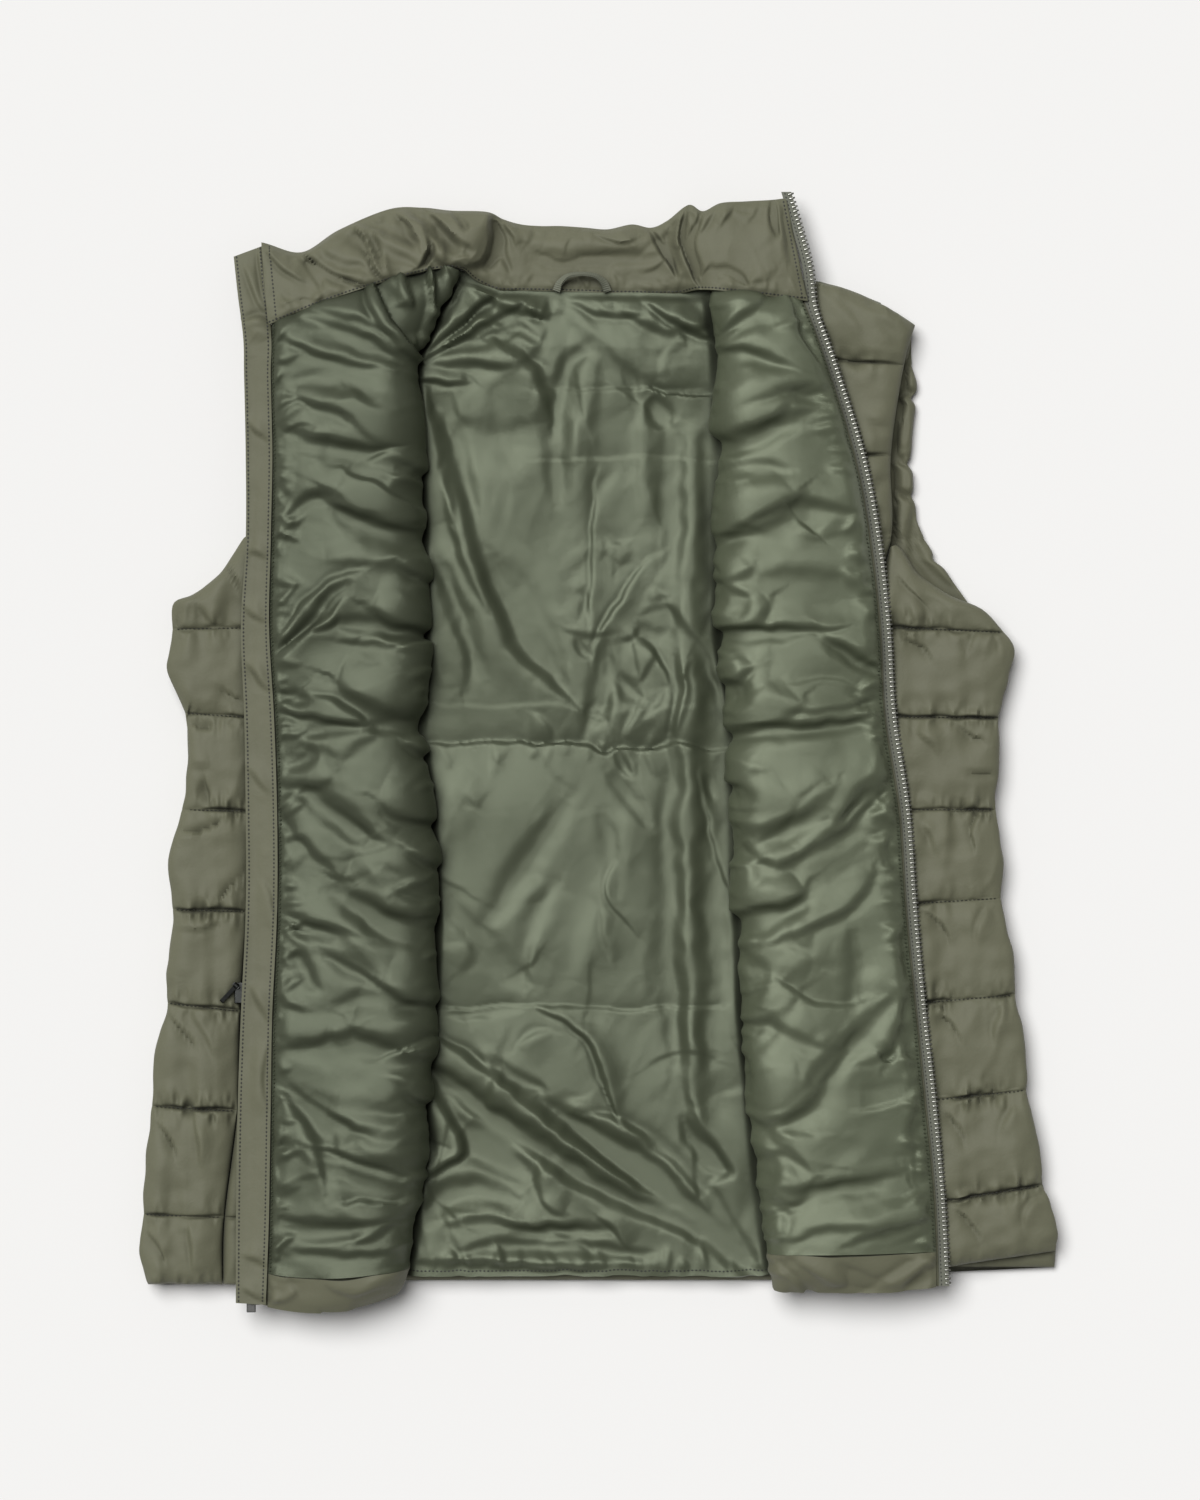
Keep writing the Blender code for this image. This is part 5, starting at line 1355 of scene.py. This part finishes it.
def back_shell_places():
    """Places of the back shell's points, their line numbers, and how far they are from an edge."""
    share = mix(np.linspace(0, 1, BACK_SHELL_ROWS), crowded(BACK_SHELL_ROWS), BACK_CROWDING)[:, None]
    across = crowded(BACK_SHELL_COLUMNS)[None, :]
    level = mix(BACK_SHELL_TOP, BACK_SHELL_FOOT, share)
    x = mix(*back_edges(np.minimum(level, ARMHOLE_END)), across)
    y = mix(top_of_back(x), foot_of_back(x), share)
    first, last = back_edges(np.minimum(y, ARMHOLE_END))
    x = mix(first, last, across)
    line = mix(seam_at(RIGHT_FRONT, "line", y), seam_at(LEFT_FRONT, "line", y), across)
    line = np.clip(line, BACK_LINE_MARGIN, LAST_LINE - BACK_LINE_MARGIN)
    near = np.minimum(x - first, last - x)
    near = np.minimum(near, np.minimum(top_of_back(x) - y, y - foot_of_back(x)))
    return x, y, line, near, across


def make_back_shell(material):
    """Both sides of the back's shell, quilted, with an underside that rests flat between lines."""
    x, y, line, near, across = back_shell_places()
    crown = rounded(near / BACK_ROUND)
    sunk = 1 - puff(line)
    drawn = LINE_PULL * sunk * np.sign(across - 0.5) * np.clip(1 - near / 20, 0, 1)
    for pinch_y, depth in RIM_PINCHES:
        pinched = depth * (1.6 * bell(y - pinch_y, PINCH_WIDTH) - 0.6)
        drawn = drawn + pinched * bell(y - pinch_y, PINCH_REACH) * np.clip((across - 0.9) / 0.1, 0, 1)
    raised = BACK_PUFF - BACK_TROUGH * sunk + 0.6 * puckers(x, y, line, 36) + relief(x, y, RIM_CREASES)
    raised = crown * raised
    for front in (RIGHT_FRONT, LEFT_FRONT):
        rim = seam_at(front, "seam_x", y) + front["outward"] * RIM_GAP
        raised -= RIM_GROOVE * bell(x - rim, RIM_GROOVE_WIDTH) * (y > RIM_GROOVE_FOOT)
    top = joined(x - drawn, y, BACK_MIDDLE + np.clip(raised, *BACK_RAISED))
    wrinkle = FLOOR_WRINKLE * (1 + smooth_noise(x, y, 5, 31)) * np.exp(-((sunk - 1) ** 2) * 6)
    lifted = (FLOOR_LIFT * sunk**2 + wrinkle) * crown
    floor = joined(x - drawn, y, BACK_MIDDLE - BACK_MIDDLE * crown + lifted)
    rings = np.concatenate([top, floor[:, ::-1]], axis=1)
    made = add_rings("back_shell_cloth", rings, material, node=("back_shell",))


def back_lining_places():
    """Places of the back lining's points. A few columns at each side are hidden under a front."""
    share = np.linspace(0, 1, BACK_ROWS)[:, None]
    level = mix(LINING_TOP, LINING_FOOT, share)
    beside_armhole = np.clip((level - 60) / 30, 0, 1) * np.clip((300 - level) / 30, 0, 1)
    inset = LINING_SIDE + ARMHOLE_INSET * beside_armhole
    start, end = back_edges(np.minimum(level, ARMHOLE_TOP))
    first = fold_at(RIGHT_FRONT, level) - LINING_UNDER
    last = fold_at(LEFT_FRONT, level) + LINING_UNDER
    hidden = np.linspace(0, 1, HIDDEN_COLUMNS)[None, :-1]
    seen = mix(first, last, np.linspace(0, 1, BACK_COLUMNS)[None, :])
    right_part = mix(start + inset, first, hidden)
    left_part = mix(end - inset, last, hidden)[:, ::-1]
    x = np.concatenate([right_part, seen, left_part], axis=1)
    from_middle = np.abs(x)
    raised = np.clip((from_middle - NECK_RISE_SPAN[0]) / NECK_RISE_EASE, 0, 1)
    raised = raised * np.clip((NECK_RISE_SPAN[1] - from_middle) / NECK_RISE_EASE, 0, 1)
    y = mix(top_of_back(x) + LINING_RISE + NECK_RISE * raised, LINING_FOOT, share)
    foot_x, foot_rise = zip(*LINING_FOOT_CURVE)
    y = y + np.interp(x, foot_x, foot_rise) * share
    ragged = 0.9 * noise_along(x, 17, 19) + 0.5 * noise_along(x, 6, 20) - 0.6
    return x, y + ragged * share**24


def back_lining_grid():
    """Upper points of the back lining, with its creases, between the two folds."""
    x, y = back_lining_places()
    room = np.minimum(x - fold_at(RIGHT_FRONT, y), fold_at(LEFT_FRONT, y) - x)
    below_neck = top_of_back(x) - y
    room = eased(np.clip(room / 8, 0, 1)) * np.clip(below_neck / 5, 0.3, 1)
    lift = BACK_LIFT * np.clip(below_neck / 34, 0.15, 1)
    creases = list(BACK_CREASES)
    for row in BACK_SCATTER:
        creases += scattered(*row)
    for row in BACK_GATHERS:
        creases += gathers(*row)
    folds = relief(x, y, creases)
    folds *= 1 + 0.55 * np.clip((np.abs(y - 20) - 170) / 40, 0, 1)
    folds += 2.2 * smooth_noise(x, y, 60, 1)
    folds += 3.0 * crumple(x, y, 100, 112, 110, 42) + 0.45 * crumple(x, y, 110, 62, 30, 12)
    return joined(x, y, BACK_LINING_BOTTOM + LINING_WALL + room * np.logaddexp(0, lift + folds))


def collar_edges(line):
    """The collar's seam edge, which laps over the linings, and its top edge."""
    seam, top = (joined(*(curve(COLLAR, f"{edge}_{c}", line) for c in "xyz")) for edge in ("seam", "top"))
    away = seam[:, :2] - top[:, :2]
    seam[:, :2] += NECK_OVERLAP * away / np.linalg.norm(away, axis=1, keepdims=True)
    seam[:, 2] = np.maximum(seam[:, 2], NECK_LEVEL)
    return seam, top


def collar_grids():
    """Upper and under points of the collar, from its seam edge to its top edge."""
    last = COLLAR["line"][-1]
    line = np.linspace(0, last, COLLAR_ROWS)
    across = crowded(COLLAR_COLUMNS)
    seam, top = collar_edges(line)
    ends = np.exp((line - last) / COLLAR_END_REACH) - np.exp(-line / COLLAR_END_REACH)
    middle = mix(seam[:, None], top[:, None], across[None, :, None])
    wall = np.interp(across, COLLAR_SECTION["across"], COLLAR_SECTION["wall"])[None, :]
    wall = wall * mix(COLLAR_END_WALL, 1, rounded(np.minimum(line, last - line)))[:, None]
    x, y = middle[..., 0] + COLLAR_END_SLANT * ends[:, None], middle[..., 1]
    creases = list(COLLAR_CREASES)
    creases += scattered(21, 60, ((-200, 262), (120, 340)), 15, 24, 2.2, 0.8)
    creases += gathers(22, seam[:, :2].ravel(), (0, 1), 6, 12, 0.8)
    creases += gathers(23, top[:, :2].ravel(), (0, -1), 7, 10, 0.6)
    folds = COLLAR_RELIEF * relief(x, y, creases)
    folds = folds + 1.6 * smooth_noise(x, y, 26, 24) + 2.2 * crumple(x, y, 120, 100, 40, 14)
    calm = rounded(np.minimum(across, 1 - across) / 0.25)[None, :]
    z = np.maximum(middle[..., 2], wall / 2)
    upper = joined(x, y, z + wall / 2 + calm * np.clip(folds, *COLLAR_FOLDS))
    return upper, joined(x, y, z - wall / 2)


def make_collar(material):
    """The padded collar. Its upper points carry the topstitching."""
    upper, under = collar_grids()
    rings = np.concatenate([upper, under[:, -2:0:-1]], axis=1)
    made = add_rings("collar_cloth", rings, material, node=("collar",))
    return upper


def zip_rows(count):
    """Line numbers from the collar's top to the hem, with more rows to a line at the collar."""
    return np.concatenate([np.linspace(-1, 0, TOP_ROWS)[:-1], np.linspace(0, LAST_LINE, count)])


def flap_grid():
    """Upper points of the storm flap, from its sewn edge to its free edge."""
    line = zip_rows(FLAP_ROWS)[:, None]
    across = np.linspace(0.02, 1, FLAP_COLUMNS)[None, :]
    x, y = (mix(curve(FLAP, f"sewn_{c}", line), curve(FLAP, f"free_{c}", line), across) for c in "xy")
    level = np.broadcast_to(curve(FLAP, "z", line), x.shape)
    at = np.clip(line, 0, None)
    inward = np.abs(x - curve(RIGHT_FRONT, "fold_x", at))
    over = (line >= 0) & (inward < front_widths(RIGHT_FRONT, at)[0] + FLAP_REACH)
    rest = np.where(over, np.maximum(level, roll_top(RIGHT_FRONT, at, inward) + FLAP_CLEARANCE), level)
    middle = np.sin(math.pi * across)
    z = rest + FLAP_WALL + 0.5 + 0.45 * smooth_noise(x * 2, y, 14, 41) * mix(0.4, 1, middle)
    z = z + 0.3 * smooth_noise(x * 3, y, 5, 42) * middle
    z = softened(z, 14) + 3.0 * relief(x, y, FLAP_CREASES) * mix(0.3, 1, middle)
    return joined(x, y, z)


def left_teeth(line):
    """The middle of the left zip half's teeth, from the collar's top to the foot."""
    at = np.clip(line, 0, None)
    y = np.where(line >= 0, curve(LEFT_FRONT, "edge_y", at), curve(LEFT_ZIP, "y", line))
    return joined(curve(LEFT_ZIP, "x", line) - LEFT_TEETH_INSET, y, curve(LEFT_ZIP, "z", line))


def right_teeth(line):
    """The middle of the right zip half's teeth, which lie under the storm flap."""
    x = curve(FLAP, "free_x", line) + TEETH_UNDER_FLAP + RIGHT_TEETH_INSET
    return joined(x, curve(FLAP, "free_y", line), curve(FLAP, "z", line) - BEAD_HEIGHT / 2 - GAP)


def add_teeth(name, path, outward, material):
    """Zip teeth at their pitch along a path, each a block that narrows to its tip."""
    points, faces = [], []
    sides = len(TOOTH_OUTLINE)
    last = (len(TOOTH_SECTIONS) - 1) * sides
    over = np.array([0, 0, 1.0])
    middles, ahead = along_path(path, TOOTH_PITCH)
    for middle, run in zip(middles, ahead):
        aside = np.cross(run, over) * outward
        aside = aside if aside[0] * outward > 0 else -aside
        start = len(points)
        for reach, half_wide, half_high in TOOTH_SECTIONS:
            for s, t in TOOTH_OUTLINE:
                points.append(middle + aside * reach + run * half_wide * s + over * half_high * t)
        for ring in range(start, start + last, sides):
            for j in range(sides):
                a, b = ring + j, ring + (j + 1) % sides
                faces.append((a, b, b + sides, a + sides))
        faces += [tuple(range(start, start + sides)), tuple(range(start + last, start + last + sides))]
    return add_mesh(name, points, faces, material, slot="zip_metal")


def make_zip(name, teeth, inner_x, outward, cloth, metal):
    """A zip half: its woven tape up to the teeth's cord, and its teeth."""
    share = np.linspace(0, 1, TAPE_COLUMNS)[None, :]
    cord = teeth[:, 0] + outward * TAPE_CORD
    x = mix(inner_x[:, None], cord[:, None], share)
    bead = TAPE_RISE * bell(share - 0.9, 0.12)
    grid = joined(x, teeth[:, 1:2], teeth[:, 2:3] + TAPE_RISE + bead)
    add_sheet(f"{name}_zip_tape", grid, TAPE_WALL, cloth, node=(f"{name}_zip",), slot="zip_tape")
    add_teeth(f"{name}_zip_teeth", teeth, outward, metal)
    return column_path(grid, 2.2, 0.1)


def make_zips(cloth, metal):
    """Both zip halves. The left one's tape shows the stitches that hold it."""
    line = zip_rows(ZIP_ROWS)
    at = np.clip(line, 0, None)
    above = curve(LEFT_ZIP, "x", line) - ZIP_WIDTH
    inner_x = np.where(line >= 0, curve(LEFT_FRONT, "edge_x", at) - 0.5, above)
    tape_seam = make_zip("left", left_teeth(line), inner_x, 1, cloth, metal)
    line = line[(line > TEETH_START) & (line < TEETH_END)]
    at = np.clip(line, 0, None)
    inner_x = curve(FLAP, "free_x", line) + TEETH_UNDER_FLAP + ZIP_WIDTH
    inner_x = np.where(line >= 0, curve(RIGHT_FRONT, "edge_x", at) - 2 * GAP, inner_x)
    make_zip("right", right_teeth(line), inner_x, -1, cloth, metal)
    return tape_seam


def make_loop(material):
    """The hanger loop: a ribbed tape that rises from the neck seam and tilts on its edge at the top."""
    line = np.linspace(0, LOOP["line"][-1], LOOP_ROWS)
    middle = joined(*(curve(LOOP, c, line) for c in "xyz"))
    run = np.gradient(middle, axis=0)
    aside = joined(-run[:, 1], run[:, 0], 0.0)
    aside /= np.linalg.norm(aside, axis=1, keepdims=True)
    share = np.linspace(-1, 1, LOOP_COLUMNS)[None, :]
    swell = np.sin(math.pi * line / line[-1])[:, None]
    tilt = LOOP_TILT * swell**0.7
    half = LOOP_WIDTH * mix(1.05, 0.95, swell) / 2
    grid = middle[:, None] + aside[:, None] * (share * half * np.cos(tilt))[..., None]
    done = np.concatenate([[0], np.cumsum(np.linalg.norm(np.diff(middle, axis=0), axis=1))])[:, None]
    ribs = LOOP_RIB_HEIGHT * np.cos(2 * math.pi * done / LOOP_RIB_PITCH)
    grid[..., 2] += LOOP_RISE + LOOP_WALL / 2 + half * (1 - share) * np.sin(tilt) + ribs
    add_sheet("hanger_loop_tape", grid, LOOP_WALL, material, node=("hanger_loop",), slot="loop_tape")


def set_inputs(node, **values):
    """Values on a node's sockets. A socket's name is written with _ for each space."""
    for name, value in values.items():
        node.inputs[name.replace("_", " ")].default_value = value


def tree_of(name, roughness, metallic=0.0):
    """A new material, its tree of nodes and its shader."""
    made = bpy.data.materials.new(name)
    made.use_nodes = True
    shader = made.node_tree.nodes["Principled BSDF"]
    set_inputs(shader, Metallic=metallic, Roughness=roughness)
    return made, made.node_tree, shader


def object_place(tree):
    """A point's place on its own piece, so that a pattern moves with it."""
    return tree.nodes.new("ShaderNodeTexCoord").outputs["Object"]


def noise_node(tree, place, scale, detail=2.0, rough=0.5, distortion=0.0):
    """Random blotches."""
    node = tree.nodes.new("ShaderNodeTexNoise")
    set_inputs(node, Scale=scale, Detail=detail, Roughness=rough, Distortion=distortion)
    tree.links.new(place, node.inputs["Vector"])
    return node.outputs["Fac"]


def wave_node(tree, place, direction, pitch):
    """Bands across a thread direction, one for each thread."""
    node = tree.nodes.new("ShaderNodeTexWave")
    node.bands_direction = direction
    set_inputs(node, Scale=math.pi / 10 / (pitch * MM), Distortion=0.6, Detail=1.0)
    tree.links.new(place, node.inputs["Vector"])
    return node.outputs["Fac"]


def math_node(tree, operation, first, second):
    """An operation on two values, each a number or another node's output."""
    node = tree.nodes.new("ShaderNodeMath")
    node.operation = operation
    for socket, value in zip(node.inputs, (first, second)):
        if isinstance(value, (int, float)):
            socket.default_value = value
        else:
            tree.links.new(value, socket)
    return node.outputs[0]


def bump_node(tree, height, strength, distance, below=None):
    """Fine relief, on top of another one if it is given."""
    node = tree.nodes.new("ShaderNodeBump")
    set_inputs(node, Strength=strength, Distance=distance * MM)
    tree.links.new(height, node.inputs["Height"])
    if below is not None:
        tree.links.new(below, node.inputs["Normal"])
    return node.outputs["Normal"]


def coloured(tree, factor, dark, light, low=0.3, high=0.7):
    """A colour between a dark and a light one, by a factor."""
    node = tree.nodes.new("ShaderNodeValToRGB")
    for stop, position, colour in zip(node.color_ramp.elements, (low, high), (dark, light)):
        stop.position = position
        stop.color = (*colour, 1)
    tree.links.new(factor, node.inputs["Fac"])
    return node.outputs["Color"]


def painted_fold_shade(tree, shader, colour, darkest):
    """Painted shade that gathers in the folds: ambient occlusion darkens the colour, and its share also
    dulls the gloss.
    """
    open_sky = tree.nodes.new("ShaderNodeAmbientOcclusion")
    open_sky.samples = 6
    set_inputs(open_sky, Distance=SHADE_REACH * MM)
    share = tree.nodes.new("ShaderNodeMapRange")
    set_inputs(share, From_Min=SHADE_RANGE[0], From_Max=SHADE_RANGE[1], To_Min=darkest)
    tree.links.new(open_sky.outputs["AO"], share.inputs["Value"])
    mixed = tree.nodes.new("ShaderNodeMix")
    mixed.data_type = "RGBA"
    mixed.inputs[6].default_value = (0, 0, 0, 1)
    tree.links.new(share.outputs["Result"], mixed.inputs[0])
    tree.links.new(colour, mixed.inputs[7])
    tree.links.new(mixed.outputs[2], shader.inputs["Base Color"])
    return share.outputs["Result"]


def woven(name, colour, roughness, pitch, variation=0.08, crinkle=0.5, sheen=0.0, specular=0.5,
          tint=(1, 1, 1), gloss=1.5, diagonal=False, darkest=0.42):
    """A woven cloth: threads both ways at a pitch, uneven dye, small crinkles, and painted shade in its
    folds.
    """
    made, tree, shader = tree_of(name, roughness)
    place = object_place(tree)
    warp = wave_node(tree, place, "DIAGONAL" if diagonal else "X", pitch)
    weft = wave_node(tree, place, "Y", pitch * 1.15)
    weave = math_node(tree, "MAXIMUM", warp, weft)
    blotch = noise_node(tree, place, 22, 4, 0.6)
    speck = noise_node(tree, place, 900, 2, 0.6)
    blotches = math_node(tree, "MULTIPLY", blotch, 0.6)
    specks = math_node(tree, "MULTIPLY", speck, 0.25)
    tone = math_node(tree, "ADD", blotches, specks)
    tone = math_node(tree, "ADD", tone, math_node(tree, "MULTIPLY", weave, 0.15))
    dark = tuple(c * (1 - variation) for c in colour)
    light = tuple(c * (1 + variation) for c in colour)
    # Painted shade: the colour darkens in the folds, and the gloss dulls there
    shade = painted_fold_shade(tree, shader, coloured(tree, tone, dark, light), darkest)
    small = noise_node(tree, place, 150, 5, 0.55, 0.8)
    bump = bump_node(tree, small, crinkle, 0.9)
    bump = bump_node(tree, weave, 0.35, 0.12, bump)
    tree.links.new(bump, shader.inputs["Normal"])
    spread = tree.nodes.new("ShaderNodeMapRange")
    set_inputs(spread, To_Min=roughness - 0.06, To_Max=roughness + 0.06)
    tree.links.new(blotch, spread.inputs["Value"])
    dull = math_node(tree, "MULTIPLY", math_node(tree, "SUBTRACT", 1, shade), SHADE_DULLS)
    tree.links.new(math_node(tree, "ADD", spread.outputs["Result"], dull), shader.inputs["Roughness"])
    set_inputs(shader, Specular_IOR_Level=specular, Specular_Tint=(*tint, 1), IOR=gloss)
    set_inputs(shader, Sheen_Weight=sheen, Sheen_Roughness=0.4)
    return made


def metal(name, colour, roughness, scratch=0.25):
    """Tumbled metal: fine scratches and random darker patches."""
    made, tree, shader = tree_of(name, roughness, 1.0)
    place = object_place(tree)
    worn = noise_node(tree, place, 600, 4, 0.6)
    dark = tuple(c * 0.7 for c in colour)
    tree.links.new(coloured(tree, worn, dark, colour), shader.inputs["Base Color"])
    fine = noise_node(tree, place, 2500, 3, 0.6)
    tree.links.new(bump_node(tree, fine, scratch, 0.05), shader.inputs["Normal"])
    return made


def thread(name, colour):
    """Sewing thread: two plies that twist round each other."""
    made, tree, shader = tree_of(name, 0.6)
    ply = wave_node(tree, object_place(tree), "DIAGONAL", 0.3)
    dark = tuple(c * 0.8 for c in colour)
    tree.links.new(coloured(tree, ply, dark, colour), shader.inputs["Base Color"])
    tree.links.new(bump_node(tree, ply, 0.3, 0.1), shader.inputs["Normal"])
    return made


def set_material(node, material):
    """A material on one of the frame's own solids."""
    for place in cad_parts[node].material_slots:
        place.material = material


def make_stage():
    """A plain pale floor under a soft key light from the upper left, and an even fill."""
    corners = [(s * FLOOR_HALF * MM, t * FLOOR_HALF * MM, -FLOOR_DROP * MM) for s, t in FLOOR_CORNERS]
    mesh = bpy.data.meshes.new("floor")
    mesh.from_pydata(corners, [], [(0, 1, 2, 3)])
    floor = add_object("floor", mesh)
    paper, _, shader = tree_of("floor_paper", 0.95)
    set_inputs(shader, Base_Color=(*FLOOR_COLOUR, 1), Specular_IOR_Level=0.1)
    mesh.materials.append(paper)
    world = bpy.data.worlds.new("fill")
    world.use_nodes = True
    set_inputs(world.node_tree.nodes["Background"], Color=(1, 1, 1, 1), Strength=FILL_STRENGTH)
    bpy.context.scene.world = world
    key = bpy.data.lights.new("key", "SUN")
    key.energy = KEY_STRENGTH
    key.angle = math.radians(KEY_SOFTNESS)
    add_object("key", key).rotation_euler = Vector(KEY_DIRECTION).to_track_quat("-Z", "Y").to_euler()


def make_camera():
    """Straight down on the middle of the vest, the collar at the top of the picture."""
    camera = bpy.data.cameras.new("camera")
    camera.lens = CAMERA_LENS
    camera.sensor_width = CAMERA_SENSOR
    camera.clip_end = 50
    seat = add_object("camera", camera)
    high = FRAME_HEIGHT * CAMERA_LENS / CAMERA_SENSOR * MM + CAMERA_LIFT * MM
    seat.location = (CAMERA_ASIDE * MM, 0, high)
    bpy.context.scene.camera = seat
    bpy.context.scene.view_settings.view_transform = "Standard"


def make_satin(name, painted_sheen, darkest):
    """The lining's satin, its colour scaled lighter or darker for each front: painted sheen and painted
    shade for how the light catches that panel.
    """
    colour = tuple(c * painted_sheen for c in SATIN_COLOUR)
    tint = tuple(c * min(painted_sheen, 1) for c in SATIN_TINT)
    return woven(name, colour, 0.42, 0.28, variation=0.05, crinkle=0.12, specular=1.0, tint=tint,
                 gloss=SATIN_IOR, darkest=darkest)


def make_back_lining(material):
    """The back lining, and the path of the stitches along its foot."""
    grid = back_lining_grid()
    made = add_sheet("back_lining_cloth", grid, LINING_WALL, material, node=("back_lining",),
                     slot="lining_satin")
    return row_path(grid, BACK_ROWS - 3.5, 0.1)[8:-8]


def make_front_shell(name, front, material):
    """A front's shell, folded back on itself round its inner fold."""
    rows = np.linspace(0, LAST_LINE, SHELL_ROWS)[:, None]
    rings = ring_of_front(front, near_lines(rows, FRONT_CROWDING))
    made = add_rings(f"{name}_front_shell_cloth", rings, material, node=(f"{name}_front_shell",))


def small_front_creases(name, front, seed):
    """Small creases over a front lining, and the gathers at its seam and its fold."""
    rows = np.linspace(0, LAST_LINE, SHELL_ROWS)
    low_x, high_x = sorted((curve(front, "fold_x", 6.0), curve(front, "edge_x", 6.0)))
    small = scattered(seed, 40, ((low_x, -300), (high_x, 280)), 8, 40, 3.4, 1.2)
    seam = np.stack([curve(front, "lining_x", rows), curve(front, "edge_y", rows)], -1).ravel()
    fold = np.stack([curve(front, "fold_x", rows), curve(front, "fold_y", rows)], -1).ravel()
    edges = {
        "seam": (seam, (-front["outward"], 0), SEAM_GATHERS[name]),
        "fold": (fold, (front["outward"], 0), FOLD_GATHERS[name]),
    }
    for step, edge, pitch, length, strength in FRONT_GATHERS:
        path, toward, height = edges[edge]
        small += gathers(seed + step, path, toward, pitch, length, strength * height)
    return small


def make_front_lining(name, front, creases, shell):
    """A front's lining and hem facing, and the path of the stitches along the lining's seam."""
    facing_line = FACING_LINES[name]
    grid = front_lining_grid(front, creases, np.linspace(0, facing_line, FRONT_ROWS), LINING_WALL)
    satin = make_satin(f"{name}_front_satin_cloth", LINING_PAINTED_SHEEN[name], SATIN_DARKEST[name])
    made = add_sheet(f"{name}_front_lining_cloth", grid, LINING_WALL, satin,
                     node=(f"{name}_front_lining",), slot="lining_satin")
    seam = column_path(grid, FRONT_POINTS - 2.2, 0.3)
    grid = front_lining_grid(front, creases, np.linspace(facing_line, LAST_LINE, FACING_ROWS), FACING_WALL)
    made = add_sheet(f"{name}_hem_facing_cloth", grid, FACING_WALL, shell, node=(f"{name}_hem_facing",))
    return seam


def make_flap(material):
    """The storm flap, and the paths of the stitches along its two long edges."""
    grid = flap_grid()
    made = add_sheet("storm_flap_cloth", grid, FLAP_WALL, material, node=("storm_flap",))
    return [column_path(grid, at * FLAP_COLUMNS, 0.15) for at in (0.11, 0.87)]


def main():
    """Every piece of the vest, from the back to the stitches, then the stage and the camera."""
    shell = woven("shell_nylon", SHELL_COLOUR, 0.62, 0.5, variation=0.06, crinkle=0.3, sheen=0.05,
                  specular=0.35)
    satin = make_satin("lining_satin_cloth", 1.0, SATIN_DARKEST["back"])
    tape = woven("zip_tape_cloth", TAPE_COLOUR, 0.8, 0.6, variation=0.12, crinkle=0.2)
    twill = woven("loop_twill", LOOP_COLOUR, 0.7, 0.7, variation=0.2, crinkle=0.3, diagonal=True)
    steel = metal("nickel", NICKEL_COLOUR, 0.4)
    teeth = metal("zip_teeth_metal", TEETH_COLOUR, 0.32)
    gun = metal("gunmetal", GUNMETAL_COLOUR, 0.35)
    shell_thread = thread("shell_thread", THREAD_COLOUR)
    make_back_shell(shell)
    stitches = [make_back_lining(satin)]
    quilting, lining_seams = [], []
    for name, front, side, creases, side_creases, seed in (
        ("right", RIGHT_FRONT, RIGHT_SIDE, RIGHT_CREASES, RIGHT_SIDE_CREASES, 50),
        ("left", LEFT_FRONT, LEFT_SIDE, LEFT_CREASES, LEFT_SIDE_CREASES, 60),
    ):
        make_front_shell(name, front, shell)
        quilting += make_side(name, front, side, side_creases, seed, shell)
        small = small_front_creases(name, front, seed)
        lining_seams.append(make_front_lining(name, front, list(creases) + small, shell))
    collar = make_collar(shell)
    stitches += [column_path(collar, 6.0, 0.12)]
    stitches += [row_path(collar, at, 0.15)[4:-4] for at in (3.4, COLLAR_ROWS - 4.4)]
    stitches += make_flap(shell)
    tape_seams = [make_zips(tape, teeth)]
    make_loop(twill)
    add_stitches("zip_stitches", tape_seams, TOPSTITCH_PITCH, TAPE_STITCH, shell_thread, "zip_tape")
    add_stitches("topstitching", stitches, TOPSTITCH_PITCH, TOPSTITCH, shell_thread, "shell_cloth")
    add_stitches("quilting_stitches", quilting, SEAM_STITCH_PITCH, QUILT_STITCH, shell_thread,
                 "shell_cloth")
    add_stitches("lining_seam_stitches", lining_seams, SEAM_STITCH_PITCH, LINING_STITCH, satin,
                 "lining_satin")
    for node in ("zip_box", "zip_slider"):
        set_material(node, steel)
    for node in ("pocket_slider", "pocket_pull"):
        set_material(node, gun)
    make_stage()
    make_camera()


main()
